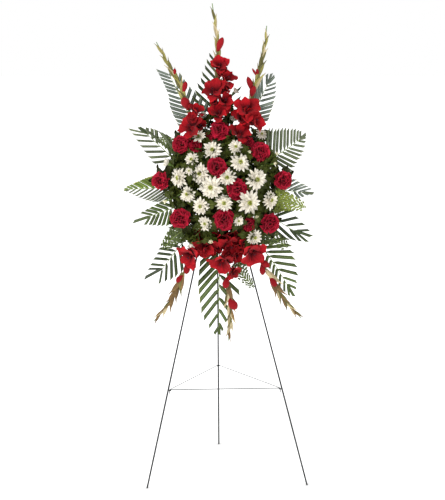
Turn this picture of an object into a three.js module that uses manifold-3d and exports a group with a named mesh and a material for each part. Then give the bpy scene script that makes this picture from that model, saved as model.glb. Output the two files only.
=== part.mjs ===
// Standing funeral spray: cut flowers and palm in a foam holder, hung on a three-legged wire easel.
// Millimetres. +X right, +Y to the back, +Z up. The origin is under the middle of the object.

import * as THREE from 'three';
import { mergeVertices } from 'three/addons/utils/BufferGeometryUtils.js';
import Module from 'manifold-3d';

const wasm = await Module();
wasm.setup();

const vec = (x, y, z) => new THREE.Vector3(x, y, z);
const TAU = Math.PI * 2;
const UP = vec(0, 0, 1);
const FRONT = vec(0, -1, 0);

// Driving dimensions
const CLEARANCE = 0.3;      // between pieces that touch on the real thing
const EASEL = {
  apex: vec(-4, 111, 1150),
  footLeft: vec(-258, -98, 0),
  footRight: vec(302, -63, 0),
  footRear: vec(-9, 444, 0),
  wire: 2.8,                // radius of the legs' steel wire
  braceAt: 0.29,            // height of the braces, as a share of the leg
  braceFront: 1.5,          // radius of the front brace
  braceSide: 1.25,          // radius of the two side braces
  eyelet: 4.6,              // radius of the brace eyelets, to the middle of their wire
  eyeletWire: 1.2,
  braceTail: 11,            // how far a brace's ends reach down through the eyelets
  bolt: 2.5,
  boltHead: { radius: 5, thick: 2.6 },
  eyeSpacing: 7.3,          // from one top eye to the next along the bolt
  hanger: 2,
};
const FOAM = { low: vec(-55, -30, 898), high: vec(55, 47, 1122) };
const TRAY = { wall: 2.2, rim: 34, earHeight: 30, earThick: 3, earHole: 12 };
const STRAP = { width: 14, thick: 1.2, heights: [958, 1072] };
const SOCKET = { depth: 24, slack: 0.4, lip: 8, margin: 40 };

// The heads stand on a dome in front of the foam
const DOME = { z: 1005, halfWidth: 240, halfHeight: 270, rim: 10, depth: 110 };

// Carnations: place across and up, diameter, and how far back from the dome
const CARNATIONS = [
  { name: 'carnation_upper_left', at: [-140, 1200], size: 64, back: 0 },
  { name: 'carnation_top', at: [-5, 1250], size: 68, back: 0 },
  { name: 'carnation_centre_top', at: [-15, 1125], size: 70, back: -4 },
  { name: 'carnation_centre', at: [60, 1045], size: 70, back: 6 },
  { name: 'carnation_upper_right', at: [140, 1175], size: 66, back: 0 },
  { name: 'carnation_right', at: [220, 1070], size: 66, back: 0 },
  { name: 'carnation_left', at: [-215, 1070], size: 60, back: 0 },
  { name: 'carnation_lower_left', at: [-145, 945], size: 70, back: 0 },
  { name: 'carnation_lower_centre', at: [10, 945], size: 72, back: -4 },
  { name: 'carnation_lower_right', at: [175, 925], size: 66, back: 0 },
  { name: 'carnation_behind_lower_right', at: [98, 922], size: 52, back: 22 },
  { name: 'carnation_behind_upper_left', at: [-88, 1192], size: 50, back: 24 },
  { name: 'carnation_behind_upper_right', at: [92, 1204], size: 48, back: 24 },
  { name: 'carnation_behind_top', at: [-46, 1222], size: 40, back: 30 },
];

// Chrysanthemum sprays: each open head, cup or bud of one branched stem
const MUM_SPRAYS = [
  { name: 'mum_spray_upper_left', heads: [
    { at: [-100, 1148], size: 52, back: 0 },
    { at: [-108, 1110], size: 32, back: -4 },
    { at: [-76, 1225], size: 46, back: -4 },
    { at: [-60, 1285], size: 36, back: 10, form: 'cup', face: [-0.3, -0.6, 0.8] },
    { at: [-35, 1330], size: 26, back: 14, form: 'bud', face: [0, -0.5, 1] },
  ] },
  { name: 'mum_spray_top', heads: [
    { at: [-30, 1180], size: 66, back: 6 },
    { at: [50, 1190], size: 50, back: 0 },
    { at: [40, 1275], size: 36, back: 6, form: 'cup', face: [0.2, -0.6, 0.8] },
    { at: [45, 1370], size: 32, back: 14, form: 'cup', face: [0.7, -0.4, 0.6] },
  ] },
  { name: 'mum_spray_upper_right', heads: [
    { at: [65, 1140], size: 70, back: 0 },
    { at: [96, 1172], size: 26, back: -12, form: 'bud', face: [0.2, -1, 0.4] },
    { at: [140, 1227], size: 42, back: 10 },
    { at: [180, 1130], size: 24, back: 0, form: 'bud', face: [0.5, -0.8, 0.2] },
    { at: [187, 1160], size: 24, back: 0, form: 'bud', face: [0.5, -0.7, 0.5] },
  ] },
  { name: 'mum_spray_left', heads: [
    { at: [-146, 1085], size: 72, back: 0, face: [-0.9, -0.75, 0] },
    { at: [-115, 1030], size: 56, back: 0 },
    { at: [-180, 1125], size: 36, back: 6, form: 'cup', face: [-1, -0.2, 0.5] },
    { at: [-185, 1005], size: 28, back: 4, form: 'bud', face: [-0.9, -0.2, -0.3] },
  ] },
  { name: 'mum_spray_centre_left', heads: [
    { at: [-72, 1100], size: 70, back: 4 },
    { at: [-35, 1055], size: 80, back: -6 },
    { at: [-70, 990], size: 62, back: 0 },
  ] },
  { name: 'mum_spray_centre', heads: [
    { at: [20, 1088], size: 66, back: 8 },
    { at: [10, 1002], size: 62, back: 4 },
  ] },
  { name: 'mum_spray_right', heads: [
    { at: [122, 1080], size: 76, back: 0 },
    { at: [96, 1003], size: 82, back: -6 },
    { at: [170, 1008], size: 66, back: 0, face: [0.8, -0.8, 0] },
    { at: [120, 956], size: 26, back: -4, form: 'bud', face: [0.2, -1, -0.3] },
  ] },
  { name: 'mum_spray_lower_left', heads: [
    { at: [-55, 930], size: 52, back: 0 },
    { at: [-35, 872], size: 28, back: 0, form: 'bud', face: [0, -0.9, -0.4] },
    { at: [-102, 856], size: 32, back: 4, form: 'cup', face: [-0.3, -0.5, -0.8] },
  ] },
  { name: 'mum_spray_lower_right', heads: [
    { at: [60, 940], size: 38, back: 0 },
    { at: [115, 880], size: 56, back: 0 },
  ] },
];

// Blades that stand in pairs on a rib: the rib's radius at both ends, and the blade's width,
// ridge and lean to the front
const LEAVES = {
  palm: { rib: 2.2, tip: 0.9, width: 9, ridge: 1.4, fold: 0.16 },
  fern: { rib: 2.2, tip: 0.9, width: 8, ridge: 1.4, fold: 0.16 },
  bract: { rib: 4, tip: 1.6, width: 14, ridge: 5, fold: 0.3 },
};

// Gladioli: the stem's points from its socket, its florets and its coloured buds.
// A floret is the middle of its mouth and its width; a bud is its tip.
const GLADIOLI = [
  { name: 'gladiolus_top_left',
    stem: [[-32, 6, 1122], [-68, 3, 1215], [-105, 2, 1300], [-135, 2, 1380], [-185, 6, 1475],
      [-220, 8, 1540]],
    florets: [[-110, 1262, 86], [-80, 1318, 60]],
    buds: [[-128, 1346, 56], [-117, 1402, 46], [-158, 1452, 30]] },
  { name: 'gladiolus_top_centre',
    stem: [[0, 8, 1122], [-3, 5, 1250], [-8, 2, 1400], [-15, 4, 1560], [-30, 8, 1670]],
    florets: [[-6, 1472, 78], [30, 1425, 68], [-30, 1385, 84], [16, 1348, 66], [-6, 1308, 68]],
    buds: [[2, 1556, 50]] },
  { name: 'gladiolus_top_right',
    stem: [[32, 6, 1122], [62, 3, 1230], [92, 2, 1325], [122, 2, 1410], [150, 5, 1535], [155, 8, 1595]],
    florets: [[90, 1325, 84], [122, 1268, 86], [72, 1240, 62]],
    buds: [[90, 1420, 56], [120, 1448, 30]] },
  { name: 'gladiolus_bottom_left',
    stem: [[-28, 4, 898], [-70, -4, 850], [-112, -10, 790], [-145, -10, 712], [-178, -8, 645],
      [-235, -5, 575]],
    florets: [[-113, 808, 88], [-58, 848, 78], [-84, 884, 52]],
    buds: [[-121, 748, 44], [-154, 718, 34]] },
  { name: 'gladiolus_bottom_centre',
    stem: [[6, 2, 898], [12, -5, 840], [20, -8, 770], [25, -8, 690], [33, -6, 600], [25, -4, 505]],
    florets: [[37, 842, 82], [-3, 792, 88], [45, 750, 60], [0, 868, 66]],
    buds: [[13, 698, 44], [50, 642, 38]] },
  { name: 'gladiolus_bottom_right',
    stem: [[30, 4, 898], [72, -4, 862], [118, -10, 815], [160, -10, 755], [213, -8, 662], [280, -5, 585]],
    florets: [[114, 820, 92], [70, 882, 48]],
    buds: [[168, 774, 44], [144, 744, 40], [190, 704, 46]] },
];

// Palm fronds: the rib's points from its socket, the stations that bear a leaflet on each side, and
// the share of the rib that is bare. Each side, as seen along the rib from the front, has its
// leaflets' angle from the rib and their first and last length.
const PALMS = [
  { name: 'palm_upper_left', rib: [[-30, 25, 1122], [-72, 34, 1220], [-114, 42, 1298], [-180, 54, 1434]],
    pairs: 10, bare: 0.38, left: [56, 78, 56], right: [60, 78, 40], end: 34 },
  { name: 'palm_top', rib: [[2, 26, 1122], [-4, 44, 1250], [-6, 56, 1370], [-7, 60, 1488]],
    pairs: 7, bare: 0.42, left: [46, 118, 60], right: [42, 112, 30], end: 30 },
  { name: 'palm_upper_right', rib: [[34, 25, 1122], [80, 32, 1215], [131, 42, 1335], [166, 52, 1408]],
    pairs: 9, bare: 0.4, left: [34, 60, 36], right: [54, 90, 30], end: 26 },
  { name: 'palm_left_high', rib: [[-55, 24, 1098], [-125, 26, 1108], [-190, 30, 1156], [-275, 34, 1250]],
    pairs: 7, bare: 0.42, left: [44, 70, 56], right: [33, 56, 28], end: 30 },
  { name: 'palm_left_middle', rib: [[-55, 25, 1044], [-150, 24, 1044], [-246, 28, 1038], [-333, 34, 1033]],
    pairs: 8, bare: 0.42, left: [40, 74, 20], right: [34, 82, 20], end: 18 },
  { name: 'palm_left_low', rib: [[-55, 24, 985], [-120, 23, 980], [-195, 24, 960], [-258, 28, 936]],
    pairs: 5, bare: 0.48, left: [50, 66, 46], right: [38, 52, 42], end: 64 },
  { name: 'palm_bottom_left', rib: [[-55, 24, 924], [-104, 19, 880], [-152, 14, 827], [-212, 6, 751]],
    pairs: 9, bare: 0.16, left: [56, 60, 44], right: [64, 92, 52], end: 52 },
  { name: 'palm_bottom', rib: [[-6, 24, 898], [-6, 23, 790], [-7, 20, 670], [-7, 18, 538]],
    pairs: 7, bare: 0.27, left: [40, 112, 40], right: [42, 118, 52], end: 28 },
  { name: 'palm_bottom_right', rib: [[55, 24, 922], [130, 22, 846], [187, 20, 771], [243, 16, 680]],
    pairs: 9, bare: 0.22, left: [52, 138, 56], right: [50, 42, 30], end: 34 },
  { name: 'palm_right_low', rib: [[55, 24, 982], [135, 24, 945], [205, 25, 912], [258, 28, 892]],
    pairs: 4, bare: 0.54, left: [32, 76, 64], right: [32, 62, 46], end: 64 },
  { name: 'palm_right_middle', rib: [[55, 25, 1040], [150, 24, 1036], [235, 28, 1029], [300, 32, 1022]],
    pairs: 5, bare: 0.56, left: [40, 76, 46], right: [40, 46, 32], end: 38 },
  { name: 'palm_right_high', rib: [[55, 24, 1098], [133, 25, 1122], [214, 28, 1166], [282, 34, 1213]],
    pairs: 10, bare: 0.4, left: [58, 112, 32], right: [60, 98, 26], end: 18 },
];

// Fern and small-leaved fillers, given as the palms are
const FILLERS = [
  { name: 'fern_right', rib: [[55, -8, 1012], [150, 6, 1004], [225, 0, 996], [286, -4, 978]],
    pairs: 7, bare: 0.5, left: [58, 42, 18], right: [58, 42, 18], end: 14 },
  { name: 'fern_lower_right', rib: [[44, -12, 898], [58, 2, 810], [72, 4, 745], [110, 0, 700]],
    pairs: 7, bare: 0.5, left: [54, 28, 16], right: [54, 28, 16], end: 14 },
  { name: 'fern_upper_left', rib: [[-55, 6, 1116], [-110, 14, 1160], [-165, 14, 1188], [-208, 10, 1212]],
    pairs: 6, bare: 0.5, left: [54, 30, 18], right: [54, 30, 18], end: 14 },
  { name: 'leaf_spray_top', rib: [[18, -14, 1122], [26, -6, 1165], [30, -6, 1200], [22, -14, 1240]],
    pairs: 6, bare: 0.5, left: [52, 30, 18], right: [52, 30, 18], end: 14 },
  { name: 'leaf_spray_lower_right', rib: [[55, -10, 930], [120, -2, 902], [178, 0, 868], [222, -2, 842]],
    pairs: 6, bare: 0.44, left: [52, 38, 20], right: [52, 38, 20], end: 16 },
  { name: 'leaf_spray_lower_left', rib: [[-55, -10, 936], [-110, -2, 908], [-162, 0, 872], [-196, -2, 836]],
    pairs: 6, bare: 0.44, left: [52, 38, 20], right: [52, 38, 20], end: 16 },
];

const finish = (color, roughness, metalness = 0) => (
  new THREE.MeshStandardMaterial({ color, roughness, metalness })
);
const FINISHES = {
  wire: finish('#4b4f4b', 0.5, 0.7),
  brace: finish('#8f918f', 0.4, 0.9),
  tray: finish('#2f4a33', 0.5),
  foam: finish('#3f5a3c', 0.95),
  tape: finish('#3d5540', 0.6),
  carnation: finish('#a01028', 0.8),
  mum: finish('#f4f2ec', 0.7),
  gladiolus: finish('#c8171f', 0.6),
  palm: finish('#4a5e30', 0.6),
  fern: finish('#5f7a38', 0.65),
};

// Solids and booleans

function toSolid(geometry) {
  const bare = geometry.clone();
  bare.deleteAttribute('normal');
  bare.deleteAttribute('uv');
  const merged = mergeVertices(bare, 1e-4);
  return new wasm.Manifold(new wasm.Mesh({
    numProp: 3,
    vertProperties: Float32Array.from(merged.attributes.position.array),
    triVerts: Uint32Array.from(merged.index.array),
  }));
}

function toGeometry(solid) {
  const mesh = solid.getMesh();
  const geometry = new THREE.BufferGeometry();
  geometry.setAttribute('position', new THREE.BufferAttribute(mesh.vertProperties, 3));
  geometry.setIndex(new THREE.BufferAttribute(mesh.triVerts, 1));
  return geometry;
}

// One body from pieces that overlap: what doesn't hold to the largest is a scrap and is dropped
function fuse(solids) {
  const bodies = wasm.Manifold.union(solids).simplify(0.01).decompose();
  return bodies.reduce((best, body) => (body.volume() > best.volume() ? body : best));
}

function box(low, high) {
  const size = high.clone().sub(low);
  const middle = low.clone().add(high).multiplyScalar(0.5);
  return toSolid(new THREE.BoxGeometry(size.x, size.y, size.z).translate(middle.x, middle.y, middle.z));
}

// Turns a geometry made about +Y, as three.js cylinders are, to point along a direction
function aimed(geometry, place, along) {
  const turn = new THREE.Quaternion().setFromUnitVectors(vec(0, 1, 0), along);
  return geometry.applyQuaternion(turn).translate(place.x, place.y, place.z);
}

// A tapering rod through points, with flat ends
function rodGeometry(points, radii, sides) {
  const positions = [];
  let tangent = points[1].clone().sub(points[0]).normalize();
  const helper = Math.abs(tangent.z) > 0.8 ? vec(0, 1, 0) : UP;
  const across = new THREE.Vector3().crossVectors(helper, tangent).normalize();
  points.forEach((point, i) => {
    const ahead = points[Math.min(i + 1, points.length - 1)];
    const behind = points[Math.max(i - 1, 0)];
    const next = ahead.clone().sub(behind).normalize();
    across.applyQuaternion(new THREE.Quaternion().setFromUnitVectors(tangent, next));
    tangent = next;
    const other = new THREE.Vector3().crossVectors(tangent, across);
    const radius = Array.isArray(radii) ? radii[i] : radii;
    for (let k = 0; k < sides; k += 1) {
      const angle = (TAU * k) / sides;
      const spoke = across.clone().multiplyScalar(Math.cos(angle) * radius)
        .addScaledVector(other, Math.sin(angle) * radius).add(point);
      positions.push(spoke.x, spoke.y, spoke.z);
    }
  });
  const index = [];
  const last = (points.length - 1) * sides;
  for (let i = 0; i < last; i += sides) {
    for (let k = 0; k < sides; k += 1) {
      const next = (k + 1) % sides;
      index.push(i + k, i + next, i + sides + next, i + k, i + sides + next, i + sides + k);
    }
  }
  for (let k = 1; k < sides - 1; k += 1) {
    index.push(0, k + 1, k, last, last + k, last + k + 1);
  }
  return indexed(positions, index);
}

function indexed(positions, index) {
  const geometry = new THREE.BufferGeometry();
  geometry.setAttribute('position', new THREE.Float32BufferAttribute(positions, 3));
  geometry.setIndex(index);
  return geometry;
}

const rod = (points, radii, sides) => toSolid(rodGeometry(points, radii, sides));

// A blade from a point root to a point tip, ridged on its upper face and widest part of the way
// along: root, right, left, top of the ridge and tip. It bends towards up, and grow thickens it.
function bladeCorners(shape, bend, grow) {
  const { root, up, length, width, ridge } = shape;
  const { widest = 0.6, arch = 0 } = shape;
  const side = new THREE.Vector3().crossVectors(up, shape.along).normalize();
  const run = shape.along.clone().applyAxisAngle(side, -THREE.MathUtils.degToRad(bend)).normalize();
  const lift = new THREE.Vector3().crossVectors(run, side);
  const middle = root.clone().addScaledVector(run, length * widest).addScaledVector(lift, arch - grow);
  return [
    root,
    middle.clone().addScaledVector(side, width / 2 + grow),
    middle.clone().addScaledVector(side, -(width / 2 + grow)),
    middle.clone().addScaledVector(lift, ridge + 2 * grow),
    root.clone().addScaledVector(run, length + grow),
  ];
}

function blade(shape, bend = 0, grow = 0) {
  const corners = bladeCorners(shape, bend, grow).flatMap((p) => [p.x, p.y, p.z]);
  return toSolid(indexed(corners, [0, 3, 1, 0, 2, 3, 4, 3, 2, 4, 1, 3, 0, 1, 2, 4, 2, 1]));
}

// What already stands, so that each new stem, petal and leaflet is bent clear of it
const standing = [];

function stand(owner, solid) {
  standing.push({ owner, solid, box: solid.boundingBox() });
  return solid;
}

const boxesMeet = (a, b) => [0, 1, 2].every((k) => a.min[k] <= b.max[k] && b.min[k] <= a.max[k]);

function isClear(owner, solid, except = []) {
  const own = solid.boundingBox();
  return standing.every((other) => other.owner === owner || except.includes(other.owner)
    || !boxesMeet(own, other.box) || other.solid.intersect(solid).isEmpty());
}

// Reach and bend of a blade, from as it grows to the shortest that still shows
const BLADE_FITS = [
  [1, 0], [1, 12], [1, -12], [0.88, 0], [0.88, 20], [0.88, -20],
  [0.74, 0], [0.74, 30], [0.74, -30], [0.6, 0], [0.6, 36], [0.45, 0],
];

// The part and its pieces

const spray = new THREE.Group();

function piece(name, solid, material) {
  const mesh = new THREE.Mesh(toGeometry(solid), material);
  mesh.name = name;
  spray.add(mesh);
}

// Easel

const along = (from, to, share) => from.clone().lerp(to, share);

function torus(middle, radius, tube, axis, sections) {
  const ring = new THREE.TorusGeometry(radius, tube, 5, sections);
  const turn = new THREE.Quaternion().setFromUnitVectors(UP, axis);
  return toSolid(ring.applyQuaternion(turn).translate(middle.x, middle.y, middle.z));
}

const topEyeRadius = EASEL.bolt + CLEARANCE + EASEL.wire;
const topEye = (slot) => EASEL.apex.clone().add(vec(slot * EASEL.eyeSpacing, 0, 0));
const LEGS = {
  left: { foot: EASEL.footLeft, eye: topEye(-0.5), peg: vec(-46, 16, 0) },
  rear: { foot: EASEL.footRear, eye: topEye(-1.5) },
  right: { foot: EASEL.footRight, eye: topEye(0.5), peg: vec(46, 16, 0) },
};

// The eyelet stands on the inner side of the leg, level, with the leg's wire sunk into its rim
function eyeletMiddle({ foot, eye }) {
  const node = along(foot, eye, EASEL.braceAt);
  const inward = vec(EASEL.apex.x, EASEL.apex.y, 0).sub(vec(foot.x, foot.y, 0)).normalize();
  return node.addScaledVector(inward, EASEL.wire + EASEL.eyelet);
}

// A peg on each front leg carries a lower corner of the tray
function pegSolid({ foot, eye, peg }) {
  const height = FOAM.low.z - TRAY.wall - CLEARANCE * 2 - EASEL.wire;
  const root = along(foot, eye, height / eye.z);
  return rod([root.setZ(height), vec(peg.x, peg.y, height)], EASEL.wire, 6);
}

function legSolid(leg) {
  const { foot, eye } = leg;
  const run = eye.clone().sub(foot).normalize();
  const below = foot.clone().addScaledVector(run, -12);
  const top = eye.clone().addScaledVector(run, -topEyeRadius);
  const parts = [
    rod([below, top], EASEL.wire, 8),
    torus(eye, topEyeRadius, EASEL.wire, vec(1, 0, 0), 10),
    torus(eyeletMiddle(leg), EASEL.eyelet, EASEL.eyeletWire, UP, 8),
  ];
  if (leg.peg) {
    parts.push(pegSolid(leg));
  }
  return fuse(parts).trimByPlane([0, 0, 1], 0);
}

// A brace lies over two eyelets, and its ends turn down through them
function braceSolid(from, to, radius) {
  const level = EASEL.eyeletWire + 2 * CLEARANCE + radius;
  const tail = EASEL.braceTail;
  const turn = 2;
  const inward = to.clone().sub(from).normalize();
  const points = [
    from.clone().add(vec(0, 0, -tail)),
    from.clone().add(vec(0, 0, level - turn)),
    from.clone().add(vec(0, 0, level)).addScaledVector(inward, turn),
    along(from, to, 0.5).add(vec(0, 0, level)),
    to.clone().add(vec(0, 0, level)).addScaledVector(inward, -turn),
    to.clone().add(vec(0, 0, level - turn)),
    to.clone().add(vec(0, 0, -tail)),
  ];
  return rod(points, radius, 6);
}

function buildEasel() {
  for (const [name, leg] of Object.entries(LEGS)) {
    piece(`easel_leg_${name}`, stand('easel', legSolid(leg)), FINISHES.wire);
  }
  const shift = EASEL.braceFront + CLEARANCE / 2;
  const [left, right, rear] = [LEGS.left, LEGS.right, LEGS.rear].map(eyeletMiddle);
  const braces = {
    front: [left.clone().add(vec(0, -shift, 0)), right.clone().add(vec(0, -shift, 0)), EASEL.braceFront],
    left: [left.clone().add(vec(0, shift, 0)), rear.clone().add(vec(-shift, 0, 0)), EASEL.braceSide],
    right: [right.clone().add(vec(0, shift, 0)), rear.clone().add(vec(shift, 0, 0)), EASEL.braceSide],
  };
  for (const [name, [from, to, radius]] of Object.entries(braces)) {
    piece(`easel_brace_${name}`, stand('easel', braceSolid(from, to, radius)), FINISHES.brace);
  }
  const reach = 2 * EASEL.eyeSpacing + 1.6;
  const { radius: headRadius, thick } = EASEL.boltHead;
  const shank = rod([-1, 1].map((end) => topEye(0).add(vec(end * (reach + 1), 0, 0))), EASEL.bolt, 10);
  const boltHeads = [-1, 1].map((end) => toSolid(aimed(
    new THREE.CylinderGeometry(headRadius, headRadius, thick, 6),
    topEye(0).add(vec(end * (reach + thick / 2), 0, 0)),
    vec(end, 0, 0),
  )));
  const bolt = fuse([shank, ...boltHeads]);
  piece('easel_bolt', stand('easel', bolt), FINISHES.brace);
}

// Holder: tray with a hanging ear, foam, tape straps and the wire hanger

const hangerX = topEye(1.5).x;
const earMiddle = vec(hangerX, FOAM.high.y + CLEARANCE + TRAY.earThick / 2, FOAM.high.z + 16);

function buildTray() {
  const inLow = FOAM.low.clone().addScalar(-CLEARANCE).setY(TRAY.rim);
  const inHigh = FOAM.high.clone().addScalar(CLEARANCE);
  const outLow = inLow.clone().addScalar(-TRAY.wall).setY(TRAY.rim);
  const outHigh = inHigh.clone().addScalar(TRAY.wall).setY(inHigh.y + TRAY.earThick);
  const shell = box(outLow, outHigh).subtract(box(inLow.clone().setY(TRAY.rim - 1), inHigh));
  const half = TRAY.earHole / 2;
  const ear = box(
    vec(earMiddle.x - 16, inHigh.y, outHigh.z - 4),
    vec(earMiddle.x + 16, outHigh.y, outHigh.z - 4 + TRAY.earHeight),
  );
  const hole = box(
    earMiddle.clone().add(vec(-half, -9, -half)),
    earMiddle.clone().add(vec(half, 9, half)),
  );
  piece('holder_tray', stand('holder_tray', fuse([shell, ear]).subtract(hole)), FINISHES.tray);
}

// A wire goes over the bolt, down to the tray, through its ear from behind and up again
function buildHanger() {
  const { apex, bolt, hanger: radius } = EASEL;
  const over = bolt + 2 * CLEARANCE + radius;
  const arc = [-25, 5, 35, 65, 95, 125].map((degrees) => {
    const angle = THREE.MathUtils.degToRad(degrees);
    return vec(hangerX, apex.y + Math.cos(angle) * over, apex.z + Math.sin(angle) * over);
  });
  const through = earMiddle.z + TRAY.earHole / 2 - radius - CLEARANCE;
  const points = [
    ...arc,
    vec(hangerX, earMiddle.y + 9, through + 1.5),
    vec(hangerX, earMiddle.y + 5, through),
    vec(hangerX, earMiddle.y - 5, through),
    vec(hangerX, earMiddle.y - 8, through + 3),
    vec(hangerX, earMiddle.y - 8, through + 13),
  ];
  piece('easel_hanger', stand('easel', rod(points, radius, 6)), FINISHES.wire);
}

function buildStraps() {
  const gap = CLEARANCE;
  const side = TRAY.wall + CLEARANCE + gap;
  const low = vec(FOAM.low.x - side, FOAM.low.y - gap, 0);
  const high = vec(FOAM.high.x + side, FOAM.high.y + CLEARANCE + TRAY.earThick + gap, 0);
  const skin = vec(STRAP.thick, STRAP.thick, 0);
  STRAP.heights.forEach((z, i) => {
    const outer = box(low.clone().sub(skin).setZ(z), high.clone().add(skin).setZ(z + STRAP.width));
    const inner = box(low.clone().setZ(z - 1), high.clone().setZ(z + STRAP.width + 1));
    const name = `holder_strap_${i === 0 ? 'lower' : 'upper'}`;
    piece(name, stand(name, outer.subtract(inner)), FINISHES.tape);
  });
}

// Stems: each stands in a plain hole in the foam

const foamHoles = [];

// Where the straight line from the foam's middle towards a place leaves the foam
function leavesFoam(middle, toward) {
  const dir = toward.clone().sub(middle).normalize();
  const reach = Math.min(...['x', 'y', 'z'].map((axis) => {
    const wall = dir[axis] > 0 ? FOAM.high[axis] : FOAM.low[axis];
    return Math.abs(dir[axis]) < 1e-6 ? Infinity : (wall - middle[axis]) / dir[axis];
  }));
  return { entry: middle.clone().addScaledVector(dir, reach), dir };
}

function socketPoints({ entry, dir }) {
  return [
    entry.clone().addScaledVector(dir, -SOCKET.depth),
    entry.clone().addScaledVector(dir, SOCKET.lip),
  ];
}

// A square hole, as wide between its flats as the stem and its slack
const holeRadius = (stem) => (stem + SOCKET.slack) * Math.SQRT2;

function claimSocket(owner, way, stem) {
  const [inner, lip] = socketPoints(way);
  const deeper = inner.clone().addScaledVector(way.dir, -CLEARANCE);
  foamHoles.push(rod([deeper, lip], holeRadius(stem), 4));
  stand(owner, rod([deeper, lip], holeRadius(stem) + CLEARANCE, 4));
}

// The point inside the foam that a stem at a height runs to
const heartAt = (z) => (
  vec(0, 6, THREE.MathUtils.clamp(z, FOAM.low.z + SOCKET.margin, FOAM.high.z - SOCKET.margin))
);

// Moves a socket about until its hole is clear of the others and of the straps
function findSocket(owner, toward, stem) {
  const spread = [0, 7, -7, 14, -14, 21, -21, 28, -28];
  const base = heartAt(toward.z);
  for (const dz of spread) {
    for (const dx of spread) {
      const way = leavesFoam(base.clone().add(vec(dx, 0, dz)), toward);
      const hole = rod(socketPoints(way), holeRadius(stem) + CLEARANCE, 4);
      if (isClear(owner, hole, ['foam_block'])) {
        claimSocket(owner, way, stem);
        return way;
      }
    }
  }
  throw new Error(`no room in the foam for ${owner}`);
}

// A stem from its start to a head, bowed as little as keeps it clear. It is thin up to the last
// points, which have radii of their own.
function route(owner, start, end, { thin, end: thick, sides }, solids) {
  const first = start[start.length - 1];
  const middle = along(first, end[0], 0.5);
  const run = end[0].clone().sub(first).normalize();
  const side = new THREE.Vector3().crossVectors(run, Math.abs(run.z) > 0.8 ? FRONT : UP).normalize();
  const other = new THREE.Vector3().crossVectors(run, side);
  for (const bow of [0, 6, 11, 16, 22, 28, 36, 44]) {
    for (let k = 0; k < (bow === 0 ? 1 : 8); k += 1) {
      const angle = (TAU * k) / 8;
      const via = middle.clone().addScaledVector(side, Math.cos(angle) * bow)
        .addScaledVector(other, Math.sin(angle) * bow);
      const bowed = bow === 0 ? [] : [via];
      const radii = [thin, ...bowed.map(() => thin), ...thick].map((radius) => radius + CLEARANCE);
      if (isClear(owner, rod([first, ...bowed, ...end], radii, sides))) {
        const whole = [...start.map(() => thin), ...bowed.map(() => thin), ...thick];
        solids.push(stand(owner, rod([...start, ...bowed, ...end], whole, sides)));
        return;
      }
    }
  }
  throw new Error(`no clear way for ${owner} to ${end[0].toArray().map(Math.round)}`);
}

const domeDepth = (x, z) => {
  const inside = 1 - (x / DOME.halfWidth) ** 2 - ((z - DOME.z) / DOME.halfHeight) ** 2;
  return DOME.rim - DOME.depth * Math.sqrt(Math.max(inside, 0));
};

// Place and facing of a head on the dome: outwards from the foam, and towards the front
function headPose({ at: [x, z], back, face }) {
  const place = vec(x, domeDepth(x, z) + back, z);
  const outward = place.clone().sub(heartAt(z)).normalize().multiplyScalar(0.8);
  const facing = face ? vec(...face) : outward.add(FRONT);
  return { place, face: facing.normalize() };
}

function basis(face) {
  const right = new THREE.Vector3().crossVectors(Math.abs(face.z) > 0.9 ? FRONT : UP, face).normalize();
  return { right, top: new THREE.Vector3().crossVectors(face, right) };
}

function spoke({ right, top }, angle) {
  return right.clone().multiplyScalar(Math.cos(angle)).addScaledVector(top, Math.sin(angle));
}

// Carnation

const CARNATION = {
  stem: 2.3,
  calyx: { length: 26, base: 5.5, mouth: 9 },
  points: 10,
  wave: 0.05,
  // Each whorl's cut edge, and the fold behind it, as reach from the middle and rise to the front
  edges: [[1, -0.16], [0.9, 0.1], [0.72, 0.34], [0.44, 0.5]],
  folds: [[0.4, 0.02], [0.36, 0.16], [0.26, 0.3]],
};

// A ruffled head in one sheet that runs out to each whorl's edge and back to the fold behind it
function ruffledHead(place, face, size, reaches) {
  const frame = basis(face);
  const count = CARNATION.points;
  const half = size / 2;
  const ring = (radii, rise, wave) => radii.map((radius, i) => place.clone()
    .addScaledVector(spoke(frame, (TAU * i) / count), radius)
    .addScaledVector(face, rise * half + (i % 2 === 0 ? wave : -wave)));
  const rings = [];
  CARNATION.edges.forEach(([, rise], k) => {
    rings.push(ring(reaches[k], rise, (k % 2 === 0 ? 1 : -1) * size * CARNATION.wave));
    if (k < CARNATION.folds.length) {
      const [reach, foldRise] = CARNATION.folds[k];
      rings.push(ring(reaches[k].map((radius) => Math.min(radius * 0.8, half * reach)), foldRise, 0));
    }
  });
  const back = place.clone().addScaledVector(face, -half * 0.3);
  const front = place.clone().addScaledVector(face, half * 0.4);
  const corners = [back, front, ...rings.flat()];
  const at = (r, i) => 2 + r * count + (i % count);
  const last = rings.length - 1;
  const index = [];
  for (let i = 0; i < count; i += 1) {
    index.push(0, at(0, i + 1), at(0, i), 1, at(last, i), at(last, i + 1));
    for (let r = 0; r < last; r += 1) {
      index.push(at(r, i), at(r, i + 1), at(r + 1, i + 1), at(r, i), at(r + 1, i + 1), at(r + 1, i));
    }
  }
  return toSolid(indexed(corners.flatMap((p) => [p.x, p.y, p.z]), index));
}

function carnationStem(spec) {
  const { place, face } = headPose(spec);
  const { length, base, mouth } = CARNATION.calyx;
  const { stem } = CARNATION;
  const solids = [];
  const way = findSocket(spec.name, place, stem);
  const neck = [-length - 5, -length, 0].map((step) => place.clone().addScaledVector(face, step));
  route(spec.name, socketPoints(way), neck, { thin: stem, end: [stem, base, mouth], sides: 4 }, solids);
  return { spec, place, face, solids };
}

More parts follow.
